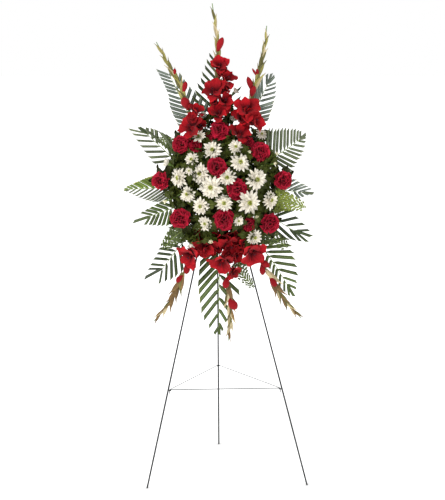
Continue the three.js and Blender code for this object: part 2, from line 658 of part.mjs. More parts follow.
// Each point of a whorl's edge reaches as far out as it can stay clear of what stands there
function edgeRadii({ spec, place, face }, [reach, rise], k) {
  const frame = basis(face);
  const half = spec.size / 2;
  const full = half * reach;
  const wave = spec.size * CARNATION.wave;
  return Array.from({ length: CARNATION.points }, (_, i) => {
    const out = spoke(frame, (TAU * i) / CARNATION.points);
    const lift = rise * half + ((i + k) % 2 === 0 ? wave : -wave);
    const shares = [1, 0.92, 0.84, 0.76, 0.68, 0.6, 0.52, 0.44];
    const share = shares.find((part) => {
      const target = out.clone().multiplyScalar(full * part).addScaledVector(face, lift);
      const run = target.clone().normalize();
      const up = new THREE.Vector3().crossVectors(run, new THREE.Vector3().crossVectors(face, run));
      return isClear(spec.name, blade({
        root: place,
        along: run,
        up: up.normalize(),
        length: target.length(),
        width: (full * TAU) / CARNATION.points,
        ridge: 2,
        widest: 0.8,
      }, 0, CLEARANCE));
    }) ?? 0.36;
    return full * share * (i % 2 === 0 ? 1 : 0.88);
  });
}

function carnationHead(head) {
  const { spec, place, face, solids } = head;
  const radii = CARNATION.edges.map((edge, k) => edgeRadii(head, edge, k));
  for (const share of [1, 0.94, 0.88, 0.82, 0.76, 0.7, 0.62, 0.54]) {
    const fitted = radii.map((ring) => ring.map((radius) => radius * share));
    const grown = fitted.map((ring) => ring.map((radius) => radius + CLEARANCE * 2));
    if (share < 0.6 || isClear(spec.name, ruffledHead(place, face, spec.size, grown))) {
      solids.push(stand(spec.name, ruffledHead(place, face, spec.size, fitted)));
      break;
    }
  }
  piece(spec.name, fuse(solids), FINISHES.carnation);
}

// A bloom in one body: a core whose rim runs out into ridged petals. A front apex behind the rim
// makes the core a hollow throat.
function bloomSolid({ place, face, core, front, back }, petals) {
  const frame = basis(face);
  const count = petals.length;
  const corners = [place.clone().addScaledVector(face, front), place.clone().addScaledVector(face, -back)];
  petals.forEach(({ shape, bend }, i) => {
    const rim = place.clone().addScaledVector(spoke(frame, (TAU * i) / count), core);
    corners.push(
      rim.clone().addScaledVector(face, shape.ridge / 2),
      rim.addScaledVector(face, -shape.ridge / 2),
      ...bladeCorners(shape, bend, 0).slice(1),
    );
  });
  const index = [];
  petals.forEach((_, i) => {
    const [af, ab, left, right, top, tip] = [0, 1, 2, 3, 4, 5].map((k) => 2 + i * 6 + k);
    const bf = 2 + ((i + 1) % count) * 6;
    const bb = bf + 1;
    index.push(0, af, bf, top, bf, af, top, af, right, top, right, tip, top, tip, left, top, left, bf);
    index.push(1, bb, ab, ab, bb, right, bb, left, right, left, tip, right);
    index.push(right, af, ab, bf, left, bb);
  });
  return toSolid(indexed(corners.flatMap((p) => [p.x, p.y, p.z]), index));
}

// The fit of one petal that is clear of what stands there
function fitPetal(owner, shape) {
  const fit = BLADE_FITS.find(([reach, bend]) => (
    isClear(owner, blade({ ...shape, length: shape.length * reach }, bend, CLEARANCE))
  )) ?? [0.36, 0];
  return { shape: { ...shape, length: shape.length * fit[0] }, bend: fit[1] };
}

// Petals round a face, each lifted by its rise from the plane of the bloom
function petalShapes(place, face, { count, rise, length, broad, widest, ridge, arch = 0 }) {
  const frame = basis(face);
  return Array.from({ length: count }, (_, i) => {
    const out = spoke(frame, (TAU * (i + 0.5)) / count);
    const angle = THREE.MathUtils.degToRad(Array.isArray(rise) ? rise[i % rise.length] : rise);
    const reach = length * widest * Math.cos(angle);
    return {
      root: place,
      along: out.clone().multiplyScalar(Math.cos(angle)).addScaledVector(face, Math.sin(angle)),
      up: face.clone().multiplyScalar(Math.cos(angle)).addScaledVector(out, -Math.sin(angle)),
      length,
      width: 2 * reach * Math.tan(Math.PI / count) * broad,
      ridge,
      widest,
      arch,
    };
  });
}

// Chrysanthemum

const MUM = {
  stem: 1.7,
  mainStem: 2.6,
  neck: 20,
  small: 44,                // heads up to this size have two rays fewer
  large: 66,                // and heads from this size on have two more
  leaf: { beyond: 26, width: 22, ridge: 1.4, widest: 0.55, tries: 6, from: [0.4, Math.PI + 0.4] },
  forms: {
    open: { count: 10, rise: 8, core: 0.26, front: 0.13, back: 0.12, reach: 1 },
    cup: { count: 6, rise: 44, core: 0.22, front: 0.1, back: 0.3, reach: 1.1 },
    bud: { count: 4, rise: 58, core: 0.3, front: 0.5, back: 0.36, reach: 1.1 },
  },
};

function mumStems(spec) {
  const heads = spec.heads.map((head) => ({ form: 'open', ...head, ...headPose(head) }));
  const open = heads.filter((head) => head.form === 'open');
  const mean = open.reduce((sum, head) => sum.add(head.place), vec(0, 0, 0)).divideScalar(open.length);
  const way = findSocket(spec.name, mean, MUM.mainStem);
  const [inner, lip] = socketPoints(way);
  const fork = lip.clone().addScaledVector(way.dir, 6);
  const solids = [stand(spec.name, rod([inner, fork], MUM.mainStem, 4))];
  heads.forEach((head) => {
    const neck = head.place.clone().addScaledVector(head.face, -MUM.neck);
    route(spec.name, [fork], [neck, head.place], { thin: MUM.stem, end: [MUM.stem, 2.6], sides: 3 }, solids);
  });
  return { spec, heads, solids };
}

// A leaf on one side of the stem below a head, turned to where it can reach furthest
function growLeaf({ spec, solids }, { place, face, size }, start) {
  const { beyond, width, ridge, widest, tries } = MUM.leaf;
  const frame = basis(face);
  const fits = Array.from({ length: tries }, (_, k) => fitPetal(spec.name, {
    root: place.clone().addScaledVector(face, -MUM.neck),
    along: spoke(frame, start + (Math.PI * k) / tries),
    up: face,
    length: size / 2 + beyond,
    width,
    ridge,
    widest,
  }));
  const { shape, bend } = fits.reduce((best, fit) => (fit.shape.length > best.shape.length ? fit : best));
  if (isClear(spec.name, blade(shape, bend, CLEARANCE))) {
    solids.push(stand(spec.name, blade(shape, bend)));
  }
}

function mumLeaves(plant) {
  plant.heads.filter((head) => head.form === 'open').forEach((head) => {
    MUM.leaf.from.forEach((start) => growLeaf(plant, head, start));
  });
  piece(plant.spec.name, fuse(plant.solids), FINISHES.mum);
}

function petalCount(name, size) {
  const { count } = MUM.forms[name];
  if (name !== 'open' || (size > MUM.small && size < MUM.large)) {
    return count;
  }
  return size > MUM.small ? count + 2 : count - 2;
}

function mumHeads({ spec, heads, solids }) {
  heads.forEach(({ place, face, size, form: name }) => {
    const form = MUM.forms[name];
    const shapes = petalShapes(place, face, {
      count: petalCount(name, size),
      rise: form.rise,
      length: (size / 2) * form.reach,
      broad: 0.9,
      widest: 0.74,
      ridge: 1.6,
    });
    const petals = shapes.map((shape) => fitPetal(spec.name, shape));
    solids.push(stand(spec.name, bloomSolid({
      place,
      face,
      core: form.core * size * 0.5,
      front: form.front * size,
      back: form.back * size,
    }, petals)));
  });
}

// Gladiolus

const GLADIOLUS = {
  petals: 6,
  rises: [30, 46],
  throat: 0.15,
  bracts: { pairs: 4, bare: 0.5, left: [20, 66, 40], right: [20, 66, 40], end: 24 },
};

const curveOf = (points) => new THREE.CatmullRomCurve3(points.map((p) => vec(...p)), false, 'centripetal');

// Points of a stem or rib from inside its socket to its tip
function stemPoints(points, steps) {
  const curve = curveOf(points);
  const entry = vec(...points[0]);
  const dir = curve.getTangent(0);
  const [inner] = socketPoints({ entry, dir });
  const outside = Array.from({ length: steps }, (_, i) => curve.getPointAt((i + 1) / steps));
  return { curve, entry, dir, points: [inner, entry.clone().addScaledVector(dir, SOCKET.lip), ...outside] };
}

function gladiolusStem(spec) {
  const way = stemPoints(spec.stem, 5);
  claimSocket(spec.name, way, LEAVES.bract.rib);
  stand(spec.name, rod(way.points, LEAVES.bract.rib, 4));
  return { spec: { ...spec, ...GLADIOLUS.bracts }, ...way, solids: [] };
}

// The point of the stem that a floret or bud grows from: a little nearer the foam than its tip
function stemFoot(curve, target, drop) {
  let best = 0;
  for (let i = 0; i <= 60; i += 1) {
    const here = curve.getPointAt(i / 60).distanceTo(target);
    if (here < curve.getPointAt(best).distanceTo(target)) {
      best = i / 60;
    }
  }
  return curve.getPointAt(Math.max(0, best - drop / curve.getLength()));
}

function growFloret({ spec, curve, solids }, [x, z, size]) {
  const near = curve.getPointAt(0.5).y;
  const mouth = vec(x, near - size * 0.5, z);
  const foot = stemFoot(curve, mouth, size * 0.42);
  const face = mouth.clone().sub(foot).normalize();
  const throat = along(foot, mouth, 0.6);
  const shapes = petalShapes(throat, face, {
    count: GLADIOLUS.petals,
    rise: GLADIOLUS.rises,
    length: size * 0.6,
    broad: 0.92,
    widest: 0.62,
    ridge: 1.8,
    arch: -size * 0.04,
  });
  const petals = shapes.map((shape) => fitPetal(spec.name, shape));
  const bloom = { place: throat, face, core: size * GLADIOLUS.throat, back: throat.distanceTo(foot) };
  solids.push(stand(spec.name, bloomSolid({ ...bloom, front: -bloom.back * 0.4 }, petals)));
}

function growBud({ spec, curve, solids }, [x, z, length]) {
  const near = curve.getPointAt(0.5).y;
  const tip = vec(x, near - length * 0.35, z);
  const foot = stemFoot(curve, tip, length * 0.7);
  const girth = length * 0.16;
  const points = [foot, along(foot, tip, 0.6), tip];
  if (isClear(spec.name, rod(points, [girth * 0.5, girth + CLEARANCE, 1], 4))) {
    solids.push(stand(spec.name, rod(points, [girth * 0.5, girth, 0.6], 4)));
  }
}

function gladiolusBloom(plant) {
  plant.spec.florets.forEach((floret) => growFloret(plant, floret));
  plant.spec.buds.forEach((bud) => growBud(plant, bud));
  plant.solids.push(stand(plant.spec.name, frondSolid(plant, LEAVES.bract)));
  piece(plant.spec.name, fuse(plant.solids), FINISHES.gladiolus);
}

// Palm fronds and ferns

function frondRib(spec) {
  const way = stemPoints(spec.rib, 4);
  claimSocket(spec.name, way, LEAVES.palm.rib);
  stand(spec.name, rod(way.points, LEAVES.palm.rib, 3));
  return { spec, ...way };
}

// How far the leaflets open at the first station and at the last, and where their slanting end begins
const LEAFLET = { opens: 1.06, closes: 0.88, slant: 0.84 };

// One leaflet's corners: its middle ridge, the lower corner of its slanting end, and its tip
function leafletCorners(spec, root, tangent, hand, share, { width, ridge, fold }) {
  const side = new THREE.Vector3().crossVectors(tangent, FRONT).normalize().multiplyScalar(hand);
  const [angle, first, last] = hand < 0 ? spec.left : spec.right;
  const sweep = THREE.MathUtils.degToRad(angle * THREE.MathUtils.lerp(LEAFLET.opens, LEAFLET.closes, share));
  const leaf = tangent.clone().multiplyScalar(Math.cos(sweep))
    .addScaledVector(side, Math.sin(sweep)).addScaledVector(FRONT, fold).normalize();
  const length = THREE.MathUtils.lerp(first, last, share);
  const up = FRONT.clone().addScaledVector(leaf, -FRONT.dot(leaf)).normalize();
  const { shape, bend } = fitPetal(spec.name, {
    root, along: leaf, up, length, width, ridge, widest: 0.5,
  });
  const [, , , top, tip] = bladeCorners(shape, bend, 0);
  const run = tip.clone().sub(root);
  const inward = new THREE.Vector3().crossVectors(run, up).normalize().multiplyScalar(hand);
  const lower = root.clone().addScaledVector(run, LEAFLET.slant).addScaledVector(inward, width / 2);
  const upper = tip.clone().addScaledVector(inward, -width * 0.2);
  return [top, lower, upper];
}

// A frond in one body: a four-sided rib whose edges run out into the leaflets on both sides
function frondSolid({ spec, curve, entry, dir }, leaf) {
  const bare = [
    { place: socketPoints({ entry, dir })[0], tangent: dir, radius: leaf.rib },
    { place: socketPoints({ entry, dir })[1], tangent: dir, radius: leaf.rib },
  ];
  const rib = (at) => ({
    place: curve.getPointAt(at),
    tangent: curve.getTangentAt(at),
    radius: THREE.MathUtils.lerp(leaf.rib, leaf.tip, at),
  });
  const leafy = Array.from({ length: spec.pairs + 1 }, (_, i) => (
    rib(spec.bare + ((0.96 - spec.bare) * i) / spec.pairs)
  ));
  const stations = [...bare, rib(spec.bare / 2), ...leafy];
  const corners = [];
  stations.forEach(({ place, tangent, radius }) => {
    const side = new THREE.Vector3().crossVectors(tangent, FRONT).normalize().multiplyScalar(radius * 0.7);
    const lift = new THREE.Vector3().crossVectors(side, tangent).setLength(radius * 0.7);
    corners.push(
      place.clone().sub(side).add(lift),
      place.clone().sub(side).sub(lift),
      place.clone().add(side).add(lift),
      place.clone().add(side).sub(lift),
    );
  });
  const index = [2, 0, 1, 2, 1, 3];
  const firstLeaf = stations.length - leafy.length;
  for (let j = 0; j < stations.length - 1; j += 1) {
    // Left and right, front and back, and n for the next station
    const [lf, lb, rf, rb, lfn, lbn, rfn, rbn] = [0, 1, 2, 3, 4, 5, 6, 7].map((k) => j * 4 + k);
    index.push(lf, rf, rfn, lf, rfn, lfn, rb, lb, lbn, rb, lbn, rbn);
    if (j < firstLeaf) {
      index.push(lf, lfn, lbn, lf, lbn, lb, rf, rb, rbn, rf, rbn, rfn);
    } else {
      const { place, tangent } = stations[j];
      const root = along(place, stations[j + 1].place, 0.5);
      const share = (j - firstLeaf) / (spec.pairs - 1);
      const first = corners.length;
      corners.push(...leafletCorners(spec, root, tangent, -1, share, leaf));
      corners.push(...leafletCorners(spec, root, tangent, 1, share, leaf));
      const [k, a, p, kr, ar, pr] = [0, 1, 2, 3, 4, 5].map((n) => first + n);
      index.push(k, lf, lfn, k, lfn, p, k, p, a, k, a, lf, lbn, lb, a, lbn, a, p, lf, a, lb, p, lfn, lbn);
      index.push(kr, rfn, rf, kr, rf, ar, kr, ar, pr, kr, pr, rfn);
      index.push(rb, rbn, ar, rbn, pr, ar, ar, rf, rb, rfn, pr, rbn);
    }
  }
  const end = stations[stations.length - 1];
  const [lf, lb, rf, rb] = [0, 1, 2, 3].map((k) => (stations.length - 1) * 4 + k);
  corners.push(end.place.clone().addScaledVector(end.tangent, spec.end));
  const apex = corners.length - 1;
  index.push(lf, rf, apex, lb, lf, apex, rb, lb, apex, rf, rb, apex);
  return toSolid(indexed(corners.flatMap((p) => [p.x, p.y, p.z]), index));
}

function leafyFrond(frond, leaf, material) {
  const { name } = frond.spec;
  piece(name, stand(name, frondSolid(frond, leaf)), material);
}

// Assembly: the easel and holder, every stem, then the heads and leaves, front ones first

buildEasel();
buildTray();
buildHanger();
buildStraps();
stand('foam_block', box(FOAM.low, FOAM.high));

const palms = PALMS.map(frondRib);
const gladioli = GLADIOLI.map(gladiolusStem);
const fillers = FILLERS.map(frondRib);
const carnations = CARNATIONS.map(carnationStem);
const mums = MUM_SPRAYS.map(mumStems);

carnations.forEach(carnationHead);
mums.forEach(mumHeads);
gladioli.forEach(gladiolusBloom);
palms.forEach((frond) => leafyFrond(frond, LEAVES.palm, FINISHES.palm));
fillers.forEach((frond) => leafyFrond(frond, LEAVES.fern, FINISHES.fern));
mums.forEach(mumLeaves);
piece('foam_block', box(FOAM.low, FOAM.high).subtract(wasm.Manifold.union(foamHoles)), FINISHES.foam);

const bounds = new THREE.Box3().setFromObject(spray);
const middle = bounds.getCenter(vec(0, 0, 0));
spray.position.set(-middle.x, -middle.y, -bounds.min.z);

export default spray;
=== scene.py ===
"""Standing funeral spray: carnations, chrysanthemums, gladioli, palm and fern on a wire easel."""

import math
import random

import bmesh
import bpy
from mathutils import Matrix, Vector


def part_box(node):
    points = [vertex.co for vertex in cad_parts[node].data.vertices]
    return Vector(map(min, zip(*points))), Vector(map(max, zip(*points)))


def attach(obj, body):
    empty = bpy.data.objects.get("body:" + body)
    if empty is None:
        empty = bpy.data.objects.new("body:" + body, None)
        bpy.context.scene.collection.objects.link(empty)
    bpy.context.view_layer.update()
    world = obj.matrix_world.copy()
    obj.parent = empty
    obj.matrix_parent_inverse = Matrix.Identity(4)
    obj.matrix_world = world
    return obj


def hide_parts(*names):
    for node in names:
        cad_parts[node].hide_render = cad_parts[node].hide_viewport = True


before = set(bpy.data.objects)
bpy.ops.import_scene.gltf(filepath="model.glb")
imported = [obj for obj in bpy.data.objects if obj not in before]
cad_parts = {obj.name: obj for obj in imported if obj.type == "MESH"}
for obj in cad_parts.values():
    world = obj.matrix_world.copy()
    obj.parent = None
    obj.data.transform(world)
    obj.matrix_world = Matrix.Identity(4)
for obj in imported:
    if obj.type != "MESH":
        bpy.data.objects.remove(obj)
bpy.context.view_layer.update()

bl_info = {
    "name": "Standing funeral spray",
    "version": (1, 0, 0),
    "blender": (4, 5, 0),
    "location": "View3D > Sidebar > Spray",
    "description": "Petals, leaves, finishes and a plain studio for a flower spray on a wire easel",
    "category": "Add Mesh",
}

TAU = math.tau
UP = Vector((0, 0, 1))
FRONT = Vector((0, -1, 0))

# The flowers are laid out in millimetres about the easel, and moved to the frame's place at the end
FOAM_LOW = Vector((-55, -30, 898))
FOAM_HIGH = Vector((55, 47, 1122))
TO_FRAME = Matrix.Translation(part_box("foam_block")[0] - FOAM_LOW / 1000) @ Matrix.Scale(0.001, 4)

# The heads stand on a dome in front of the foam
DOME = {"z": 1005, "half_width": 240, "half_height": 270, "rim": 10, "depth": 110}

# Carnations: node, place across and up, diameter, and how far back from the dome
CARNATIONS = [
    ("carnation_upper_left", (-140, 1200), 64, 0),
    ("carnation_top", (-5, 1250), 68, 0),
    ("carnation_centre_top", (-15, 1125), 70, -4),
    ("carnation_centre", (60, 1045), 70, 6),
    ("carnation_upper_right", (140, 1175), 66, 0),
    ("carnation_right", (220, 1070), 66, 0),
    ("carnation_left", (-215, 1070), 60, 0),
    ("carnation_lower_left", (-145, 945), 70, 0),
    ("carnation_lower_centre", (10, 945), 72, -4),
    ("carnation_lower_right", (175, 925), 66, 0),
    ("carnation_behind_lower_right", (98, 922), 52, 22),
    ("carnation_behind_upper_left", (-88, 1192), 50, 24),
    ("carnation_behind_upper_right", (92, 1204), 48, 24),
    ("carnation_behind_top", (-46, 1222), 40, 30),
]

# Chrysanthemum sprays: each head's place, diameter, distance back, form and facing. The form "leaves"
# is a shoot without a head, and its number is the leaves' length.
MUM_SPRAYS = {
    "mum_spray_upper_left": [
        ((-100, 1148), 52, 0, "open", None),
        ((-108, 1110), 32, -4, "open", None),
        ((-76, 1225), 46, -4, "open", None),
        ((-60, 1285), 36, 10, "cup", (-0.3, -0.6, 0.8)),
        ((-35, 1330), 26, 14, "bud", (0, -0.5, 1)),
        ((-50, 1290), 30, 6, "leaves", None),
    ],
    "mum_spray_top": [
        ((-30, 1180), 66, 6, "open", None),
        ((50, 1190), 50, 0, "open", None),
        ((40, 1275), 36, 6, "cup", (0.2, -0.6, 0.8)),
        ((45, 1370), 32, 14, "cup", (0.7, -0.4, 0.6)),
        ((34, 1304), 34, 4, "leaves", None),
    ],
    "mum_spray_upper_right": [
        ((65, 1140), 70, 0, "open", None),
        ((96, 1172), 26, -12, "bud", (0.2, -1, 0.4)),
        ((140, 1227), 42, 10, "open", None),
        ((180, 1130), 24, 0, "bud", (0.5, -0.8, 0.2)),
        ((187, 1160), 24, 0, "bud", (0.5, -0.7, 0.5)),
        ((140, 1124), 38, 24, "leaves", None),
        ((186, 1090), 34, 30, "leaves", None),
    ],
    "mum_spray_left": [
        ((-146, 1085), 72, 0, "open", (-0.9, -0.75, 0)),
        ((-115, 1030), 56, 0, "open", None),
        ((-180, 1130), 44, 0, "cup", (-1, -0.2, 0.5)),
        ((-185, 1005), 28, 4, "bud", (-0.9, -0.2, -0.3)),
        ((-158, 1140), 36, 30, "leaves", None),
        ((-132, 1128), 34, 30, "leaves", None),
        ((-166, 1024), 40, 30, "leaves", None),
        ((-150, 990), 40, 30, "leaves", None),
    ],
    "mum_spray_centre_left": [
        ((-72, 1100), 70, 4, "open", None),
        ((-35, 1055), 80, -6, "open", None),
        ((-70, 990), 62, 0, "open", None),
    ],
    "mum_spray_centre": [
        ((20, 1088), 66, 8, "open", None),
        ((10, 1002), 62, 4, "open", None),
    ],
    "mum_spray_right": [
        ((122, 1080), 76, 0, "open", None),
        ((96, 1003), 82, -6, "open", None),
        ((170, 1008), 66, 0, "open", (0.8, -0.8, 0)),
        ((120, 956), 26, -4, "bud", (0.2, -1, -0.3)),
        ((148, 1070), 40, 34, "leaves", None),
        ((142, 1036), 38, 34, "leaves", None),
        ((180, 968), 34, 26, "leaves", None),
    ],
    "mum_spray_lower_left": [
        ((-55, 930), 52, 0, "open", None),
        ((-35, 872), 28, 0, "bud", (0, -0.9, -0.4)),
        ((-102, 856), 32, 4, "cup", (-0.3, -0.5, -0.8)),
        ((-112, 880), 36, 34, "leaves", None),
    ],
    "mum_spray_lower_right": [
        ((60, 940), 38, 0, "open", None),
        ((115, 880), 56, 0, "open", None),
    ],
}

# Gladioli: the stem's points from its socket, its florets (mouth, width and how far its petals are
# from open, in degrees) and its buds (tip, length and girth as a share of it)
GLADIOLI = {
    "gladiolus_top_left": {
        "stem": [(-32, 6, 1122), (-68, 3, 1215), (-105, 2, 1300), (-135, 2, 1380),
                 (-185, 6, 1475), (-220, 8, 1540)],
        "florets": [(-110, 1262, 94, 0), (-80, 1318, 66, 8), (-96, 1290, 60, 26), (-70, 1262, 58, 22)],
        "buds": [(-130, 1352, 66, 0.25), (-119, 1408, 50, 0.19), (-158, 1452, 34, 0.17)],
    },
    "gladiolus_top_centre": {
        "stem": [(0, 8, 1122), (-3, 5, 1250), (-8, 2, 1400), (-15, 4, 1560), (-30, 8, 1670)],
        "florets": [(-5, 1466, 76, 14), (28, 1425, 74, 4), (-30, 1385, 92, 0), (16, 1348, 74, 6),
                    (-6, 1308, 76, 6), (2, 1440, 60, 26), (20, 1388, 60, 26), (-22, 1340, 58, 28)],
        "buds": [(6, 1556, 64, 0.18)],
    },
    "gladiolus_top_right": {
        "stem": [(32, 6, 1122), (62, 3, 1230), (92, 2, 1325), (122, 2, 1410), (150, 5, 1535),
                 (155, 8, 1595)],
        "florets": [(90, 1325, 94, 0), (126, 1280, 92, 6), (66, 1240, 80, 8), (70, 1290, 80, 10),
                    (100, 1300, 72, 20)],
        "buds": [(90, 1424, 60, 0.17), (114, 1392, 58, 0.2), (122, 1450, 36, 0.16), (106, 1452, 30, 0.14)],
    },
    "gladiolus_bottom_left": {
        "stem": [(-28, 4, 898), (-70, -4, 850), (-112, -10, 790), (-145, -10, 712),
                 (-178, -8, 645), (-235, -5, 575)],
        "florets": [(-113, 808, 96, 0), (-56, 838, 98, 4), (-62, 882, 74, 10), (-84, 884, 60, 16),
                    (-88, 828, 66, 24), (-36, 824, 66, 18)],
        "buds": [(-121, 746, 50, 0.24), (-154, 716, 40, 0.24)],
    },
    "gladiolus_bottom_centre": {
        "stem": [(6, 2, 898), (12, -5, 840), (20, -8, 770), (25, -8, 690), (33, -6, 600), (25, -4, 505)],
        "florets": [(37, 842, 92, 0), (-3, 785, 100, 2), (45, 750, 68, 8), (2, 868, 88, 6),
                    (24, 806, 66, 22), (38, 876, 76, 10), (62, 808, 66, 14),
                    (-24, 876, 62, 22), (-10, 838, 60, 24)],
        "buds": [(13, 696, 50, 0.26), (54, 622, 48, 0.34)],
    },
    "gladiolus_bottom_right": {
        "stem": [(30, 4, 898), (72, -4, 862), (118, -10, 815), (160, -10, 755), (213, -8, 662),
                 (280, -5, 585)],
        "florets": [(114, 820, 100, 0), (70, 882, 58, 14), (88, 850, 66, 22), (68, 838, 58, 24)],
        "buds": [(168, 772, 50, 0.24), (144, 742, 46, 0.24), (190, 702, 50, 0.24)],
    },
}

# Palm fronds: the rib's points, the tip and finish of the leaflet at its end, and for each side, as seen
# along the rib from the front, its leaflets' first and last angle, width, finish and number, and the
# points (x, z) of the edge that their tips reach
PALMS = {
    "palm_upper_left": {
        "rib": [(-30, 25, 1122), (-72, 34, 1220), (-114, 42, 1298), (-180, 54, 1434)],
        "end": ((-171, 1459), "grey"),
        "left": ((47, 47), 1.05, "grey", 14, [(-150, 1258), (-178, 1322), (-183, 1360), (-222, 1445)]),
        "right": ((54, 40), 1.35, "grey", 6, [(-46, 1332), (-105, 1388), (-138, 1431)]),
    },
    "palm_top": {
        "rib": [(2, 26, 1122), (-4, 44, 1250), (-6, 56, 1370), (-7, 60, 1488)],
        "end": ((-7, 1512), "dark"),
        "left": ((50, 38), 1.0, "dark", 8, [(-98, 1350), (-70, 1420), (-42, 1499)]),
        "right": ((56, 50), 1.0, "dark", 3, [(66, 1315), (70, 1385)]),
    },
    "palm_upper_right": {
        "rib": [(34, 25, 1122), (80, 32, 1215), (131, 42, 1335), (166, 52, 1408)],
        "end": ((185, 1424), "grey"),
        "left": ((34, 28), 1.0, "grey", 7, [(111, 1367), (136, 1424), (174, 1434)]),
        "right": ((56, 44), 1.0, "grey", 9, [(164, 1276), (188, 1353), (190, 1401)]),
    },
    "palm_left_high": {
        "rib": [(-55, 24, 1098), (-125, 26, 1110), (-201, 30, 1175), (-264, 34, 1233)],
        "end": ((-284, 1251), "dark"),
        "left": ((50, 33), 0.85, "moss", 7, [(-237, 1128), (-288, 1199), (-318, 1243)]),
        "right": ((40, 44), 1.25, "moss", 7, [(-182, 1225), (-227, 1243), (-270, 1251)]),
    },
    "palm_left_middle": {
        "rib": [(-55, 25, 1044), (-150, 24, 1044), (-246, 28, 1038), (-333, 34, 1033)],
        "end": ((-337, 1033), "bright"),
        "left": ((32, 26), 0.7, "moss", 11, [(-209, 989), (-258, 996), (-330, 1027)]),
        "right": ((36, 30), 1.15, "bright", 10, [(-220, 1090), (-274, 1070), (-328, 1044)]),
    },
    "palm_left_low": {
        "rib": [(-55, 24, 985), (-120, 23, 980), (-195, 24, 960), (-252, 28, 938)],
        "end": ((-307, 921), "olive"),
        "left": ((62, 36), 1.1, "olive", 6, [(-185, 907), (-265, 910)]),
        "right": ((36, 36), 1.15, "olive", 5, [(-213, 991), (-279, 954)]),
    },
    "palm_bottom_left": {
        "rib": [(-55, 24, 924), (-104, 19, 880), (-152, 14, 827), (-208, 6, 754)],
        "end": ((-267, 727), "dark"),
        "left": ((52, 30), 1.05, "dark", 6, [(-119, 762), (-164, 726), (-215, 706)]),
        "right": ((62, 60), 1.05, "dark", 9, [(-178, 907), (-223, 815), (-254, 759)]),
    },
    "palm_bottom": {
        "rib": [(-6, 24, 898), (-6, 23, 790), (-7, 20, 670), (-7, 18, 538)],
        "end": ((-6, 522), "olive"),
        "left": ((47, 26), 1.3, "olive", 5, [(66, 669), (6, 536)]),
        "right": ((46, 34), 1.4, "olive", 9, [(-77, 770), (-82, 671), (-63, 580), (-24, 525)]),
    },
    "palm_bottom_right": {
        "rib": [(55, 24, 922), (130, 22, 846), (184, 20, 776), (236, 16, 693)],
        "end": ((256, 659), "olive"),
        "left": ((62, 36), 1.2, "olive", 8, [(233, 868), (266, 759), (263, 687)]),
        "right": ((50, 28), 1.0, "olive", 7, [(157, 777), (204, 694), (239, 661)]),
    },
    "palm_right_low": {
        "rib": [(55, 24, 982), (135, 24, 953), (204, 25, 921), (243, 26, 896), (262, 28, 887)],
        "end": ((315, 870), "dark"),
        "left": ((46, 38), 1.1, "dark", 4, [(247, 963), (307, 893)]),
        "right": ((20, 16), 1.1, "dark", 4, [(230, 857), (301, 851)]),
    },
    "palm_right_middle": {
        "rib": [(55, 25, 1040), (150, 24, 1036), (235, 28, 1029), (290, 32, 1022)],
        "end": ((322, 1019), "moss"),
        "left": ((38, 24), 0.85, "grey", 5, [(258, 1072), (314, 1038)]),
        "right": ((42, 30), 0.85, "grey", 3, [(273, 1003), (303, 1014)]),
    },
    "palm_right_high": {
        "rib": [(55, 24, 1098), (133, 25, 1122), (214, 28, 1166), (278, 34, 1211)],
        "end": ((294, 1227), "moss"),
        "left": ((60, 52), 0.95, "moss", 11, [(162, 1243), (237, 1246), (275, 1237)]),
        "right": ((62, 42), 0.98, "moss", 9, [(242, 1098), (286, 1170), (293, 1213)]),
    },
}

# Fern and small-leaved fillers: the rib's points, the pairs of side branches and the bare share of the
# rib. Each side has its branches' angle and their first and last length.
FILLERS = {
    "fern_right": {
        "rib": [(55, -8, 1012), (150, 6, 1004), (225, 0, 996), (286, -4, 978)],
        "pairs": 7, "bare": 0.5, "left": (58, 42, 18), "right": (58, 42, 18), "end": 14,
        "tint": "bright"},
    "fern_lower_right": {
        "rib": [(44, -12, 898), (58, 2, 810), (72, 4, 745), (110, 0, 700)],
        "pairs": 7, "bare": 0.5, "left": (54, 28, 16), "right": (54, 28, 16), "end": 14,
        "tint": "dark"},
    "fern_upper_left": {
        "rib": [(-55, 6, 1116), (-110, 14, 1160), (-165, 14, 1188), (-208, 10, 1212)],
        "pairs": 6, "bare": 0.5, "left": (54, 30, 18), "right": (54, 30, 18), "end": 14,
        "tint": "dark"},
    "leaf_spray_top": {
        "rib": [(18, -14, 1122), (26, -6, 1165), (30, -6, 1200), (22, -14, 1240)],
        "pairs": 6, "bare": 0.5, "left": (52, 30, 18), "right": (52, 30, 18), "end": 14,
        "tint": "dark"},
    "leaf_spray_lower_right": {
        "rib": [(55, -10, 930), (120, -2, 902), (178, 0, 868), (222, -2, 842)],
        "pairs": 6, "bare": 0.44, "left": (52, 38, 20), "right": (52, 38, 20), "end": 16,
        "tint": "dark"},
    "leaf_spray_lower_left": {
        "rib": [(-55, -10, 936), (-110, -2, 908), (-162, 0, 872), (-196, -2, 836)],
        "pairs": 6, "bare": 0.44, "left": (52, 38, 20), "right": (52, 38, 20), "end": 16,
        "tint": "dark"},
}


def colour(code):
    """The linear colour of a #rrggbb code."""
    parts = [int(code[i:i + 2], 16) / 255 for i in (1, 3, 5)]
    linear = [p / 12.92 if p <= 0.04045 else ((p + 0.055) / 1.055) ** 2.4 for p in parts]
    return (*linear, 1.0)


def colour_property(name, description, code):
    """A colour that the panel shows."""
    return bpy.props.FloatVectorProperty(
        name=name, description=description, subtype="COLOR", size=4, min=0, max=1, default=colour(code))


